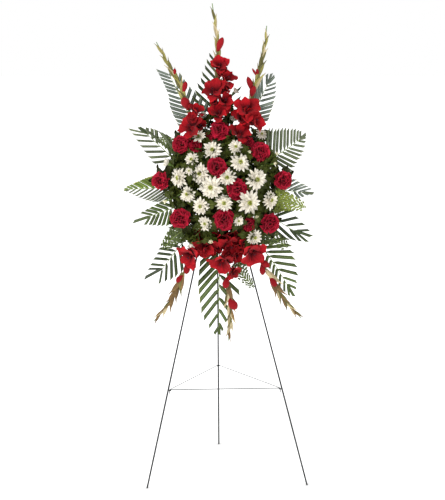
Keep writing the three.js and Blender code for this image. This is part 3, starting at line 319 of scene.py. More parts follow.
class SprayShapes(bpy.types.PropertyGroup):
    """Sizes and counts of the petals and leaves."""

    carnation_frill: bpy.props.FloatProperty(
        name="Carnation frill", description="Depth of the ruffles, as a share of a petal's length",
        default=0.19, min=0, max=0.3, subtype="FACTOR")
    mum_rays: bpy.props.IntProperty(
        name="Chrysanthemum rays", description="Rays in the outer ring of an open head",
        default=16, min=8, max=24)
    leaflet_width: bpy.props.FloatProperty(
        name="Palm leaflet width", description="Width of a palm leaflet across its fold",
        default=0.0102, min=0.006, max=0.02, subtype="DISTANCE", unit="LENGTH")
    seed: bpy.props.IntProperty(
        name="Seed", description="Start of the small random turns of petals and leaves", default=7)


class SprayColours(bpy.types.PropertyGroup):
    """Colours of the flowers, the leaves and the stand."""

    carnation: colour_property("Carnation", "Middle of a carnation petal", "#9a0b22")
    mum: colour_property("Chrysanthemum", "Middle of a ray", "#ebe4da")
    gladiolus: colour_property("Gladiolus", "Middle of a gladiolus petal", "#a80c19")
    palm: colour_property("Palm", "Dark palm leaflets", "#2b3722")
    # Painted light: the olive and bright palm tints are lighter copies of the dark one, for fronds in
    # fuller light.
    palm_olive: colour_property("Olive palm", "Fronds in fuller light", "#445328")
    palm_bright: colour_property("Bright palm", "The brightest fronds", "#5a6c2a")
    palm_moss: colour_property("Moss palm", "Fronds half turned to their grey backs", "#4c563b")
    palm_grey: colour_property("Grey palm", "Fronds that show their grey backs", "#5a665c")
    fern: colour_property("Fern", "Young fern", "#6e7c28")
    fern_dark: colour_property("Dark fern", "Older fern and small leaves", "#48562a")
    wire: colour_property("Wire", "Paint of the easel's wire", "#26292a")


class StageSettings(bpy.types.PropertyGroup):
    """Light and floor of the plain studio."""

    sky: bpy.props.FloatProperty(
        name="Sky", description="Strength of the even white light from all sides",
        default=0.38, min=0, max=4)
    key: bpy.props.FloatProperty(
        name="Key light", description="Power of the large lamp at the front left",
        default=130, min=0, max=1000, unit="POWER")
    floor: colour_property("Floor", "Colour of the floor", "#fbfbfb")
    glow: bpy.props.FloatProperty(
        name="Floor glow", description="Glow of the floor under the easel", default=0.6, min=0, max=2)
    # Painted shadow: how far the floor paint is darkened round each foot.
    shade: bpy.props.FloatProperty(
        name="Foot shade", description="Darkening of the floor under each foot", default=0.3,
        min=0, max=1, subtype="FACTOR")


# Geometry of the design

def heart_at(z):
    """The point inside the foam that a stem at a height runs to."""
    return Vector((0, 6, min(max(z, FOAM_LOW.z + 40), FOAM_HIGH.z - 40)))


def head_pose(place, back, face=None):
    """Where a head stands on the dome, and which way it looks."""
    x, z = place
    inside = 1 - (x / DOME["half_width"]) ** 2 - ((z - DOME["z"]) / DOME["half_height"]) ** 2
    y = DOME["rim"] - DOME["depth"] * math.sqrt(max(inside, 0)) + back
    spot = Vector((x, y, z))
    facing = Vector(face) if face else (spot - heart_at(z)).normalized() * 0.8 + FRONT
    return spot, facing.normalized()


def spokes(face):
    """Two directions across a face, at right angles."""
    right = (FRONT if abs(face.z) > 0.9 else UP).cross(face).normalized()
    return right, face.cross(right)


def seat(root, along, up):
    """A matrix that puts a sheet's root at a point, its length along one way and its face up."""
    y = along.normalized()
    x = y.cross(up).normalized()
    z = x.cross(y)
    return Matrix.Translation(root) @ Matrix((x, y, z)).transposed().to_4x4()


class Way:
    """A smooth curve through points, read by the share of its length."""

    def __init__(self, points, steps=24):
        knots = [Vector(p) for p in points]
        padded = [2 * knots[0] - knots[1], *knots, 2 * knots[-1] - knots[-2]]
        self.points = []
        for a, b, c, d in zip(padded, padded[1:], padded[2:], padded[3:]):
            self.points += [self.between(a, b, c, d, i / steps) for i in range(steps)]
        self.points.append(knots[-1])
        self.sums = [0.0]
        for a, b in zip(self.points, self.points[1:]):
            self.sums.append(self.sums[-1] + (b - a).length)
        self.length = self.sums[-1]

    @staticmethod
    def between(a, b, c, d, t):
        """A point of the centripetal curve from b to c."""
        ab, bc, cd = [max((q - p).length ** 0.5, 1e-4) for p, q in ((a, b), (b, c), (c, d))]
        start = ((b - a) / ab - (c - a) / (ab + bc) + (c - b) / bc) * bc
        end = ((c - b) / bc - (d - b) / (bc + cd) + (d - c) / cd) * bc
        return (b * (2 * t ** 3 - 3 * t ** 2 + 1) + start * (t ** 3 - 2 * t ** 2 + t)
                + c * (3 * t ** 2 - 2 * t ** 3) + end * (t ** 3 - t ** 2))

    def at(self, share):
        """The point at a share of the length."""
        goal = min(max(share, 0), 1) * self.length
        i = next((i for i, s in enumerate(self.sums[1:]) if s >= goal), len(self.sums) - 2)
        span = self.sums[i + 1] - self.sums[i]
        return self.points[i].lerp(self.points[i + 1], (goal - self.sums[i]) / max(span, 1e-6))

    def tangent(self, share):
        """The direction at a share of the length."""
        return (self.at(share + 0.01) - self.at(share - 0.01)).normalized()

    def nearest(self, target):
        """The share of the length that lies nearest to a point."""
        return min((i / 60 for i in range(61)), key=lambda share: (self.at(share) - target).length)


def socket_of(node):
    """The inner end of a stem's hole in the foam, from the CAD node's deepest corners."""
    back = TO_FRAME.inverted()
    middle = Vector((0, 8, 1010))
    corners = sorted((back @ v.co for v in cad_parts[node].data.vertices),
                     key=lambda p: max(abs(p.x - middle.x) / 55, abs(p.y - middle.y) / 38,
                                       abs(p.z - middle.z) / 112))
    deepest = [p for p in corners[:60] if (p - corners[0]).length < 8]
    return sum(deepest, Vector()) / len(deepest)


# Meshes

def sheet(columns, rows, shape, thickness=0.0):
    """A petal or leaf: a grid bent by shape(u, v), with u from -1 to 1 across and v from 0 to 1
    along, and then given its thickness."""
    bm = bmesh.new()
    bm.loops.layers.uv.new("UVMap")
    bm.verts.layers.float.new("tone")
    bmesh.ops.create_grid(bm, x_segments=columns, y_segments=rows, size=1, calc_uvs=True)
    for vert in bm.verts:
        vert.co = Vector(shape(vert.co.x, (vert.co.y + 1) / 2))
    if thickness:
        bmesh.ops.solidify(bm, geom=bm.faces[:], thickness=thickness)
    bmesh.ops.recalc_face_normals(bm, faces=bm.faces[:])
    mesh = bpy.data.meshes.new("sheet")
    bm.to_mesh(mesh)
    bm.free()
    return mesh


class Piece:
    """One object under way, in the design's millimetres."""

    def __init__(self, *finishes):
        self.bm = bmesh.new()
        self.uv = self.bm.loops.layers.uv.new("UVMap")
        self.tone = self.bm.verts.layers.float.new("tone")
        self.finishes = finishes

    def mark(self, first_vert, first_face, finish, tone):
        """Gives what was added last its finish and its tone."""
        self.bm.verts.ensure_lookup_table()
        self.bm.faces.ensure_lookup_table()
        index = self.finishes.index(finish)
        for vert in self.bm.verts[first_vert:]:
            vert[self.tone] = tone
        for face in self.bm.faces[first_face:]:
            face.material_index = index
        return self.bm.verts[first_vert:]

    def take(self, mesh, matrix, finish, tone):
        """Adds a copy of a mesh at a place."""
        verts, faces = len(self.bm.verts), len(self.bm.faces)
        self.bm.from_mesh(mesh)
        added = self.mark(verts, faces, finish, tone)
        bmesh.ops.transform(self.bm, matrix=matrix, verts=added)

    def tube(self, points, radii, sides, finish, tone=0.5):
        """A closed tapering tube through points."""
        verts, faces = len(self.bm.verts), len(self.bm.faces)
        points = [Vector(p) for p in points]
        tangent = (points[1] - points[0]).normalized()
        across = tangent.orthogonal().normalized()
        ring = None
        for i, point in enumerate(points):
            ahead, behind = points[min(i + 1, len(points) - 1)], points[max(i - 1, 0)]
            turn = tangent.rotation_difference((ahead - behind).normalized())
            across = turn @ across
            tangent = turn @ tangent
            other = tangent.cross(across)
            pose = Matrix.Translation(point) @ Matrix((across, other, tangent)).transposed().to_4x4()
            if ring is None:
                ring = bmesh.ops.create_circle(
                    self.bm, segments=sides, radius=radii[0], matrix=pose, cap_ends=True)["verts"]
                edges = list({e for v in ring for e in v.link_edges})
                continue
            made = bmesh.ops.extrude_edge_only(self.bm, edges=edges)["geom"]
            edges = [g for g in made if isinstance(g, bmesh.types.BMEdge)]
            ring = [g for g in made if isinstance(g, bmesh.types.BMVert)]
            edges = [e for e in edges if e.verts[0] in ring and e.verts[1] in ring]
            middle = sum((v.co for v in ring), Vector()) / sides
            first = (ring[0].co - middle).length
            grow = radii[i] / max(first, 1e-6)
            flat = Matrix.Translation(point) @ turn.to_matrix().to_4x4() @ Matrix.Scale(grow, 4)
            bmesh.ops.transform(self.bm, matrix=flat @ Matrix.Translation(-middle), verts=ring)
        bmesh.ops.holes_fill(self.bm, edges=edges, sides=sides)
        self.mark(verts, faces, finish, tone)

    def done(self, node, slot):
        """Makes the object in place of a CAD node."""
        bmesh.ops.recalc_face_normals(self.bm, faces=self.bm.faces[:])
        bmesh.ops.transform(self.bm, matrix=TO_FRAME, verts=self.bm.verts[:])
        for face in self.bm.faces:
            face.smooth = True
        mesh = bpy.data.meshes.new(f"{node}_fine")
        self.bm.to_mesh(mesh)
        self.bm.free()
        mesh.set_sharp_from_angle(angle=math.radians(48))
        for finish in self.finishes:
            mesh.materials.append(FINISHES[finish])
        made = bpy.data.objects.new(f"{node}_fine", mesh)
        bpy.context.scene.collection.objects.link(made)
        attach(made, "root")
        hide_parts(node)
        return made


# Materials

FINISHES = {}


class Tree:
    """Adds and links nodes in a node tree."""

    def __init__(self, tree):
        self.tree = tree

    def add(self, kind, inputs=None, **settings):
        """A node with its settings and inputs, which are values or other nodes' sockets."""
        node = self.tree.nodes.new(kind)
        for key, value in settings.items():
            setattr(node, key, value)
        for key, value in (inputs or {}).items():
            if isinstance(value, bpy.types.NodeSocket):
                self.tree.links.new(value, node.inputs[key])
            else:
                node.inputs[key].default_value = value
        return node

    def math(self, operation, *values):
        """The result of a Math node."""
        return self.add("ShaderNodeMath", dict(enumerate(values)), operation=operation).outputs[0]

    def ramp(self, value, low, high, to_low=0.0, to_high=1.0):
        """A value eased from one range to another."""
        return self.add("ShaderNodeMapRange", {
            "Value": value, "From Min": low, "From Max": high, "To Min": to_low, "To Max": to_high,
        }, interpolation_type="SMOOTHSTEP").outputs[0]

    def mix(self, share, first, second, blend="MIX"):
        """The result of a colour mix."""
        node = self.add("ShaderNodeMix", {0: share, 6: first, 7: second},
                        data_type="RGBA", blend_type=blend)
        return node.outputs[2]


def node_group(name, inputs, outputs):
    """An empty shader group with its sockets, each a name, a kind and a default."""
    tree = bpy.data.node_groups.new(name, "ShaderNodeTree")
    for label, kind, default in inputs:
        socket = tree.interface.new_socket(name=label, in_out="INPUT", socket_type=f"NodeSocket{kind}")
        socket.default_value = default
    for label, kind in outputs:
        tree.interface.new_socket(name=label, in_out="OUTPUT", socket_type=f"NodeSocket{kind}")
    work = Tree(tree)
    return work, work.add("NodeGroupInput").outputs, work.add("NodeGroupOutput").inputs


def petal_group():
    """Colour from a petal's root to its edge, with fine veins along it."""
    white = (1, 1, 1, 1)
    work, given, result = node_group("petal_tone", [
        ("Root", "Color", white), ("Middle", "Color", white), ("Edge", "Color", white),
        ("Root reach", "Float", 0.4), ("Edge start", "Float", 0.8), ("Veins", "Float", 0.2),
        ("Vein count", "Float", 14.0), ("Variation", "Float", 0.3),
    ], [("Colour", "Color"), ("Relief", "Float")])
    uv = work.add("ShaderNodeUVMap", uv_map="UVMap").outputs[0]
    parts = work.add("ShaderNodeSeparateXYZ", {0: uv}).outputs
    across, along = parts[0], parts[1]
    tone = work.add("ShaderNodeAttribute", attribute_name="tone").outputs["Fac"]
    # The root's colour eases out along the petal and the edge's colour comes in at its rim. In the
    # carnation and gladiolus finishes these are painted shade and painted light.
    start = work.ramp(along, 0.0, given["Root reach"])
    body = work.mix(start, given["Root"], given["Middle"])
    ending = work.ramp(along, given["Edge start"], 1.0)
    body = work.mix(ending, body, given["Edge"])
    lines = work.add("ShaderNodeCombineXYZ", {
        0: work.math("MULTIPLY", across, given["Vein count"]),
        1: work.math("MULTIPLY", along, 1.6),
        2: work.math("MULTIPLY", tone, 37.0),
    }).outputs[0]
    veins = work.add("ShaderNodeTexNoise", {"Vector": lines, "Scale": 1.0, "Detail": 3.0}).outputs[0]
    dark = work.math("MULTIPLY", work.ramp(veins, 0.35, 0.7, 1.0, 0.0), given["Veins"])
    body = work.mix(dark, body, given["Root"])
    shade = work.math("MULTIPLY", work.math("SUBTRACT", tone, 0.5), given["Variation"])
    bright = work.math("ADD", 1.0, shade)
    grey = work.add("ShaderNodeCombineXYZ", {0: bright, 1: bright, 2: bright}).outputs[0]
    work.tree.links.new(work.mix(1.0, body, grey, "MULTIPLY"), result["Colour"])
    work.tree.links.new(veins, result["Relief"])
    return work.tree


def leaf_group():
    """A leaf's colour with its midrib, fine side veins, paler patches and dry tip."""
    green = (0.1, 0.2, 0.05, 1)
    work, given, result = node_group("leaf_tone", [
        ("Blade", "Color", green), ("Rib", "Color", green), ("Tip", "Color", green),
        ("Rib width", "Float", 0.12), ("Vein count", "Float", 26.0), ("Patches", "Float", 0.35),
    ], [("Colour", "Color"), ("Relief", "Float"), ("Shine", "Float")])
    uv = work.add("ShaderNodeUVMap", uv_map="UVMap").outputs[0]
    parts = work.add("ShaderNodeSeparateXYZ", {0: uv}).outputs
    across, along = parts[0], parts[1]
    tone = work.add("ShaderNodeAttribute", attribute_name="tone").outputs["Fac"]
    side = work.math("ABSOLUTE", work.math("SUBTRACT", across, 0.5))
    lines = work.add("ShaderNodeCombineXYZ", {
        0: work.math("MULTIPLY", across, given["Vein count"]),
        1: work.math("MULTIPLY", along, 3.0),
        2: work.math("MULTIPLY", tone, 53.0),
    }).outputs[0]
    veins = work.add("ShaderNodeTexNoise", {"Vector": lines, "Scale": 1.0, "Detail": 2.0}).outputs[0]
    place = work.add("ShaderNodeTexCoord").outputs["Object"]
    cloud = work.add("ShaderNodeTexNoise", {"Vector": place, "Scale": 34.0, "Detail": 4.0}).outputs[0]
    rib = work.ramp(side, 0.0, given["Rib width"], 1.0, 0.0)
    body = work.mix(rib, given["Blade"], given["Rib"])
    pale = work.math("MULTIPLY", work.ramp(cloud, 0.45, 0.75), given["Patches"])
    body = work.mix(pale, body, given["Rib"])
    dry = work.math("MULTIPLY", work.ramp(along, 0.9, 1.0), work.ramp(tone, 0.3, 0.9))
    body = work.mix(dry, body, given["Tip"])
    bright = work.math("ADD", work.math("MULTIPLY", veins, 0.5), work.math("MULTIPLY", tone, 0.5))
    bright = work.math("ADD", bright, 0.5)
    grey = work.add("ShaderNodeCombineXYZ", {0: bright, 1: bright, 2: bright}).outputs[0]
    work.tree.links.new(work.mix(1.0, body, grey, "MULTIPLY"), result["Colour"])
    work.tree.links.new(veins, result["Relief"])
    work.tree.links.new(work.ramp(cloud, 0.3, 0.8, 0.38, 0.62), result["Shine"])
    return work.tree


def surface_group():
    """A plain surface with soft patches and small worn or dusty spots."""
    grey = (0.3, 0.3, 0.3, 1)
    work, given, result = node_group("worn_surface", [
        ("Colour", "Color", grey), ("Spots", "Color", grey), ("Scale", "Float", 60.0),
        ("Amount", "Float", 0.3), ("Rough", "Float", 0.5),
    ], [("Colour", "Color"), ("Roughness", "Float"), ("Relief", "Float")])
    place = work.add("ShaderNodeTexCoord").outputs["Object"]
    cloud = work.add("ShaderNodeTexNoise", {
        "Vector": place, "Scale": given["Scale"], "Detail": 5.0, "Roughness": 0.6}).outputs[0]
    fine = work.add("ShaderNodeTexNoise", {
        "Vector": place, "Scale": work.math("MULTIPLY", given["Scale"], 7.0), "Detail": 3.0}).outputs[0]
    spots = work.math("MULTIPLY", work.ramp(cloud, 0.5, 0.72), given["Amount"])
    work.tree.links.new(work.mix(spots, given["Colour"], given["Spots"]), result["Colour"])
    rough = work.math("ADD", given["Rough"], work.math("MULTIPLY", cloud, 0.2))
    work.tree.links.new(rough, result["Roughness"])
    work.tree.links.new(fine, result["Relief"])
    return work.tree


def material(name, group, inputs, bump, settings):
    """A material from one shared group. Its outputs feed the colour, the roughness and the bump."""
    made = bpy.data.materials.new(name)
    made.use_nodes = True
    work = Tree(made.node_tree)
    shader = made.node_tree.nodes["Principled BSDF"]
    node = work.add("ShaderNodeGroup", node_tree=group)
    for key, value in inputs.items():
        node.inputs[key].default_value = value
    work.tree.links.new(node.outputs["Colour"], shader.inputs["Base Color"])
    for output in ("Shine", "Roughness"):
        if output in node.outputs:
            work.tree.links.new(node.outputs[output], shader.inputs["Roughness"])
    strength, depth = bump
    relief = work.add("ShaderNodeBump", {
        "Height": node.outputs["Relief"], "Strength": strength, "Distance": depth})
    work.tree.links.new(relief.outputs[0], shader.inputs["Normal"])
    for key, value in settings.items():
        shader.inputs[key].default_value = value
    return made


def make_finishes(tints):
    """Every petal, leaf and stem finish, kept by name."""
    petal, leaf = petal_group(), leaf_group()

    def petals(name, root, middle, edge, reach, start, veins, count, variation, settings):
        FINISHES[name] = material(name, petal, {
            "Root": root, "Middle": middle, "Edge": edge, "Root reach": reach, "Edge start": start,
            "Veins": veins, "Vein count": count, "Variation": variation,
        }, (0.25, 0.0004), settings)

    def leaves(name, blade, rib, tip, width, count, patches, settings):
        FINISHES[name] = material(name, leaf, {
            "Blade": blade, "Rib": rib, "Tip": tip, "Rib width": width, "Vein count": count,
            "Patches": patches,
        }, (0.35, 0.0004), settings)

    velvet = {"Roughness": 0.7, "Sheen Weight": 0.06, "Sheen Roughness": 0.5, "Specular IOR Level": 0.12}
    satin = {"Roughness": 0.5, "Sheen Weight": 0.1, "Specular IOR Level": 0.4}
    # Painted shade and light: the very dark root reaches the whole petal and stands for shade deep in the
    # head. The lighter edge stands for light on the ruffled rims.
    petals("carnation_petal", colour("#3a020d"), tints.carnation, colour("#b81636"),
           1.0, 0.84, 0.1, 5.0, 0.5, velvet)
    petals("mum_ray", colour("#cdd07c"), tints.mum, colour("#f6f1ea"),
           0.46, 0.8, 0.14, 5.0, 0.26, satin)
    petals("mum_inner", colour("#a7b02c"), colour("#d3d75e"), colour("#ecebb0"),
           0.7, 0.8, 0.1, 4.0, 0.3, satin)
    petals("mum_disc", colour("#8f9a1e"), colour("#b9c23a"), colour("#d3d861"),
           0.5, 0.8, 0.3, 30.0, 0.3, {"Roughness": 0.8})
    petals("mum_eye", colour("#6a701c"), colour("#7f8528"), colour("#979d3a"),
           0.5, 0.8, 0.3, 30.0, 0.3, {"Roughness": 0.8})
    petals("mum_cream", colour("#c9cf86"), colour("#f3ecc9"), colour("#faf6df"),
           0.5, 0.8, 0.1, 5.0, 0.15, satin)
    # Painted shade and light: the near-black root stands for shade in the throat. The lighter edge stands
    # for light on the petals' rims.
    petals("gladiolus_petal", colour("#2c0209"), tints.gladiolus, colour("#c0171d"),
           0.74, 0.8, 0.3, 9.0, 0.6, velvet)
    petals("gladiolus_bud", colour("#8b0f18"), colour("#bd1520"), colour("#d12a30"),
           0.5, 0.85, 0.3, 8.0, 0.3, velvet)
    petals("anther", colour("#3a1024"), colour("#5c2338"), colour("#86505f"),
           0.4, 0.8, 0.2, 6.0, 0.2, {"Roughness": 0.7})
    waxy = {"Specular IOR Level": 0.3}
    dull = {"Specular IOR Level": 0.12}
    leaves("palm_dark", tints.palm, colour("#5c6d3a"), colour("#5f6a3a"), 0.1, 26.0, 0.25, waxy)
    # Painted light: the olive and bright finishes are lighter copies of the dark palm, for fronds in fuller
    # light.
    leaves("palm_olive", tints.palm_olive, colour("#71844a"), colour("#7a7d45"), 0.1, 26.0, 0.3, waxy)
    leaves("palm_bright", tints.palm_bright, colour("#95ab55"), colour("#a39a55"), 0.1, 26.0, 0.3, waxy)
    leaves("palm_moss", tints.palm_moss, colour("#7d8765"), colour("#7c7c55"), 0.12, 26.0, 0.35, waxy)
    leaves("palm_grey", tints.palm_grey, colour("#939e8c"), colour("#8b8a6c"), 0.12, 26.0, 0.35, waxy)
    leaves("palm_rib", colour("#7b8c4a"), colour("#93a25c"), colour("#8a7a45"), 0.3, 6.0, 0.4, waxy)
    leaves("fern_bright", tints.fern, colour("#969c4c"), colour("#9a9446"), 0.08, 18.0, 0.4, waxy)
    leaves("fern_dark", tints.fern_dark, colour("#66753c"), colour("#6f7038"), 0.08, 18.0, 0.4, waxy)
    leaves("mum_leaf", colour("#3c4417"), colour("#626a30"), colour("#525224"), 0.05, 14.0, 0.35, dull)
    # Painted shade: a darker copy of the leaf, for the collars set deep between and behind the heads.
    leaves("shaded_fill_leaf", colour("#2a2d0e"), colour("#474c20"), colour("#3c3c1a"), 0.05, 14.0, 0.3, dull)
    leaves("stem_green", colour("#5f7a3a"), colour("#7d9450"), colour("#6d7a40"), 0.2, 8.0, 0.4, waxy)
    leaves("carnation_green", colour("#6c8560"), colour("#8fa384"), colour("#7d8a60"), 0.2, 10.0, 0.3, waxy)
    # Paler and darker spike finishes, mixed in at random: painted highlights and painted shade among the
    # bracts.
    leaves("spike_pale", colour("#b3a47e"), colour("#cfc3a3"), colour("#7c5240"), 0.12, 12.0, 0.5, waxy)
    leaves("spike_dark", colour("#5e5a2c"), colour("#7d7444"), colour("#5a2a20"), 0.12, 12.0, 0.5, waxy)
    leaves("spike_green", colour("#86803f"), colour("#a89c66"), colour("#7c5240"), 0.12, 12.0, 0.6, waxy)
    leaves("spike_tan", colour("#6d5431"), colour("#9c7f4e"), colour("#6a3226"), 0.12, 12.0, 0.6, waxy)


# Carnations

def carnation_sheets(shapes, rng):
    """A few frilled petals, wide and toothed at the edge and narrow at the root."""

    def petal(first, second, lean):
        def shape(u, v):
            half = 0.07 + 0.58 * v ** 1.15
            tooth = 0.024 * (-1) ** round((u + 1) * 6) if v > 0.99 else 0
            wave = math.sin(2.7 * u + first) + 0.4 * math.sin(5.4 * u + second)
            frill = shapes.carnation_frill * v ** 2 * wave
            return u * half, v * (1 - 0.14 * u * u) + tooth, frill - lean * v ** 3
        return sheet(12, 5, shape, 0.018)

    return [petal(rng.uniform(0, TAU), rng.uniform(0, TAU), rng.uniform(0, 0.14)) for _ in range(7)]


def carnation(node, place, size, back, sheets, rng):
    """A ruffled head of five whorls in its calyx, on its stem; the operator adds the narrow leaves."""
    spot, face = head_pose(place, back)
    right, top = spokes(face)
    half = size / 2
    piece = Piece("carnation_petal", "carnation_green", "shaded_fill_leaf")
    root = spot - face * half * 0.42
    whorls = ((8, 2, 1.02), (7, 22, 0.98), (6, 42, 0.94), (5, 60, 0.88), (4, 78, 0.8))
    for count, rise, reach in whorls:
        start = rng.uniform(0, TAU)
        for i in range(count):
            angle = start + TAU * i / count + rng.uniform(-0.12, 0.12)
            lift = math.radians(rise + rng.uniform(-6, 6))
            out = right * math.cos(angle) + top * math.sin(angle)
            along = out * math.cos(lift) + face * math.sin(lift)
            up = face * math.cos(lift) - out * math.sin(lift)
            length = half * reach * rng.uniform(0.84, 1.06)
            turn = Matrix.Rotation(rng.uniform(-0.4, 0.4), 4, "Y")
            pose = seat(root, along, up) @ turn @ Matrix.Scale(length, 4)
            piece.take(rng.choice(sheets), pose, "carnation_petal", rng.random())
    neck = spot - face * 26
    calyx = [neck, neck + face * 3, neck + face * 12, spot - face * half * 0.3]
    piece.tube(calyx, [3, 5.6, 7.2, 8.6], 10, "carnation_green", 0.6)
    stem = Way([socket_of(node), (socket_of(node) + neck) / 2 + FRONT * 4, neck - face * 14, neck], 8)
    shares = [i / 10 for i in range(11)]
    piece.tube([stem.at(s) for s in shares], [2.3] * 11, 7, "carnation_green", 0.5)
    return piece, stem


def narrow_leaf():
    """A narrow leaf that curls back at its tip."""

    def shape(u, v):
        half = 0.05 * (1 - v ** 2.5) + 0.004
        return u * half, v - 0.12 * v ** 3, 0.06 * abs(u) * (1 - v) - 0.34 * v ** 3

    return sheet(2, 7, shape, 0.014)


def add_leaves(piece, way, leaf, finish, spots, length, rng):
    """Leaves at shares of a stem, turned about it and leaning to its end."""
    for share in spots:
        along = way.tangent(share)
        side = along.orthogonal().normalized()
        side.rotate(Matrix.Rotation(rng.uniform(0, TAU), 3, along))
        side = (side + FRONT * 0.5).normalized()
        run = (side + along * rng.uniform(0.3, 0.9)).normalized()
        pose = seat(way.at(share), run, (along + FRONT * 0.6)) @ Matrix.Scale(
            length * rng.uniform(0.8, 1.15), 4)
        piece.take(leaf, pose, finish, rng.random())


def collar(piece, neck, face, leaf, finish, count, reach, rng):
    """Leaves round a stem below its head, spread to fill the gaps between the heads."""
    right, top = spokes(face)
    start = rng.uniform(0, TAU)
    for i in range(count):
        angle = start + TAU * i / count + rng.uniform(-0.35, 0.35)
        out = right * math.cos(angle) + top * math.sin(angle)
        run = (out + face * rng.uniform(-0.1, 0.35)).normalized()
        pose = seat(neck - face * rng.uniform(0, 22), run, face) @ Matrix.Rotation(
            rng.uniform(-0.5, 0.5), 4, "Y") @ Matrix.Scale(reach * rng.uniform(0.75, 1.1), 4)
        piece.take(leaf, pose, finish, rng.random())


class SPRAY_OT_carnations(bpy.types.Operator):
    """Models every carnation in place of its node."""

    bl_idname = "spray.carnations"
    bl_label = "Carnations"

    def execute(self, context):
        shapes = context.scene.spray_shapes
        rng = random.Random(shapes.seed)
        sheets = carnation_sheets(shapes, rng)
        leaf, broad = narrow_leaf(), lobed_leaf()
        for node, place, size, back in CARNATIONS:
            piece, stem = carnation(node, place, size, back, sheets, rng)
            add_leaves(piece, stem, leaf, "carnation_green", (0.45, 0.62, 0.78), 52, rng)
            spot, face = head_pose(place, back)
            # Both collars take the darker leaf, painted shade between the heads.
            collar(piece, spot - face * 24, face, broad, "shaded_fill_leaf", 6, size * 0.5 + 26, rng)
            collar(piece, spot - face * 58, face, broad, "shaded_fill_leaf", 6, size * 0.5 + 32, rng)
            piece.done(node, "carnation_petals")
        return {"FINISHED"}


# Chrysanthemums

def ray_sheet(width, channel, droop):
    """A long ray, blunt-pointed and channelled along its middle."""

    def shape(u, v):
        swell = 0.45 + 0.55 * math.sin(math.pi / 2 * min(v / 0.6, 1))
        tip = max(1 - (max(v - 0.6, 0) / 0.41) ** 2, 0.0) ** 0.7
        half = width * swell * tip
        return u * half, v, channel * width * u * u + droop * v * v

    return sheet(4, 6, shape, 0.02)


def lobed_leaf():
    """A lobed leaf with a folded midrib."""

    def shape(u, v):
        lobes = 1 + 0.3 * math.cos(v * TAU * 3.1)
        half = 0.3 * math.sin(math.pi * min(v * 0.94 + 0.06, 1)) ** 0.75 * lobes * (1 - 0.3 * v)
        return u * half, v, 0.09 * abs(u) - 0.2 * v * v + 0.02 * math.cos(14 * v) * u * u

    return sheet(4, 10, shape, 0.012)


MUM_FORMS = {
    # Rings of a head: count as a share of the outer ring, rise in degrees, reach, ray and finish
    "open": [(0.95, -3, 1.1, 0, "mum_ray"), (0.86, 12, 0.96, 1, "mum_ray"), (0.62, 28, 0.72, 2, "mum_ray"),
             (0.8, 46, 0.36, 3, "mum_inner"), (0.5, 64, 0.27, 3, "mum_inner")],
    "cup": [(0.8, 34, 1.1, 3, "mum_ray"), (0.6, 54, 0.98, 3, "mum_ray"), (0.5, 66, 0.6, 2, "mum_inner")],
    "bud": [(0.6, 58, 1.1, 3, "mum_cream"), (0.5, 74, 1.0, 3, "mum_cream")],
}


def mum_head(piece, spot, face, size, form, rays, sheets, rng):
    """Rings of rays round a domed disc, over a green cup of bracts."""
    right, top = spokes(face)
    half = size / 2
    for share, rise, reach, kind, finish in MUM_FORMS[form]:
        count = max(round(rays * share * min(1.0, 0.55 + size / 130)), 5)
        start = rng.uniform(0, TAU)
        for i in range(count):
            angle = start + TAU * i / count + rng.uniform(-0.09, 0.09)
            lift = math.radians(rise + rng.uniform(-9, 9))
            out = right * math.cos(angle) + top * math.sin(angle)
            along = out * math.cos(lift) + face * math.sin(lift)
            up = face * math.cos(lift) - out * math.sin(lift)
            length = half * reach * rng.uniform(0.82, 1.04)
            turn = Matrix.Rotation(rng.uniform(-0.2, 0.2), 4, "Y")
            pose = seat(spot - face * half * 0.1, along, up) @ turn @ Matrix.Scale(length, 4)
            piece.take(sheets[kind], pose, finish, rng.random())
    if form != "bud":
        disc = half * 0.1
        rings = [spot + face * half * s for s in (-0.06, 0.04, 0.1, 0.13, 0.12, 0.1)]
        piece.tube(rings, [disc * s for s in (0.9, 1.05, 0.9, 0.62, 0.34, 0.12)], 12, "mum_eye", 0.6)
        for ring, (count, reach) in enumerate(((12, 1.35), (9, 1.0))):
            for i in range(count):
                angle = TAU * (i + 0.5 * ring) / count
                out = right * math.cos(angle) + top * math.sin(angle)
                base = spot + out * disc * reach + face * half * (0.05 + 0.05 * ring)
                tip = base + face * half * 0.09 + out * half * 0.015
                piece.tube([base, tip], [half * 0.032, half * 0.02], 5, "mum_disc", rng.random())
    neck = spot - face * half * 0.5
    cup = [neck, neck + face * half * 0.16, spot - face * half * 0.12]
    piece.tube(cup, [2.2, half * 0.2, half * 0.28], 10, "stem_green", 0.6)
    for i in range(8):
        angle = TAU * i / 8
        out = right * math.cos(angle) + top * math.sin(angle)
        pose = seat(neck + out * half * 0.1, (out * 0.62 + face).normalized(), face - out)
        piece.take(sheets[3], pose @ Matrix.Scale(half * 0.4, 4), "stem_green", rng.random())
    return neck


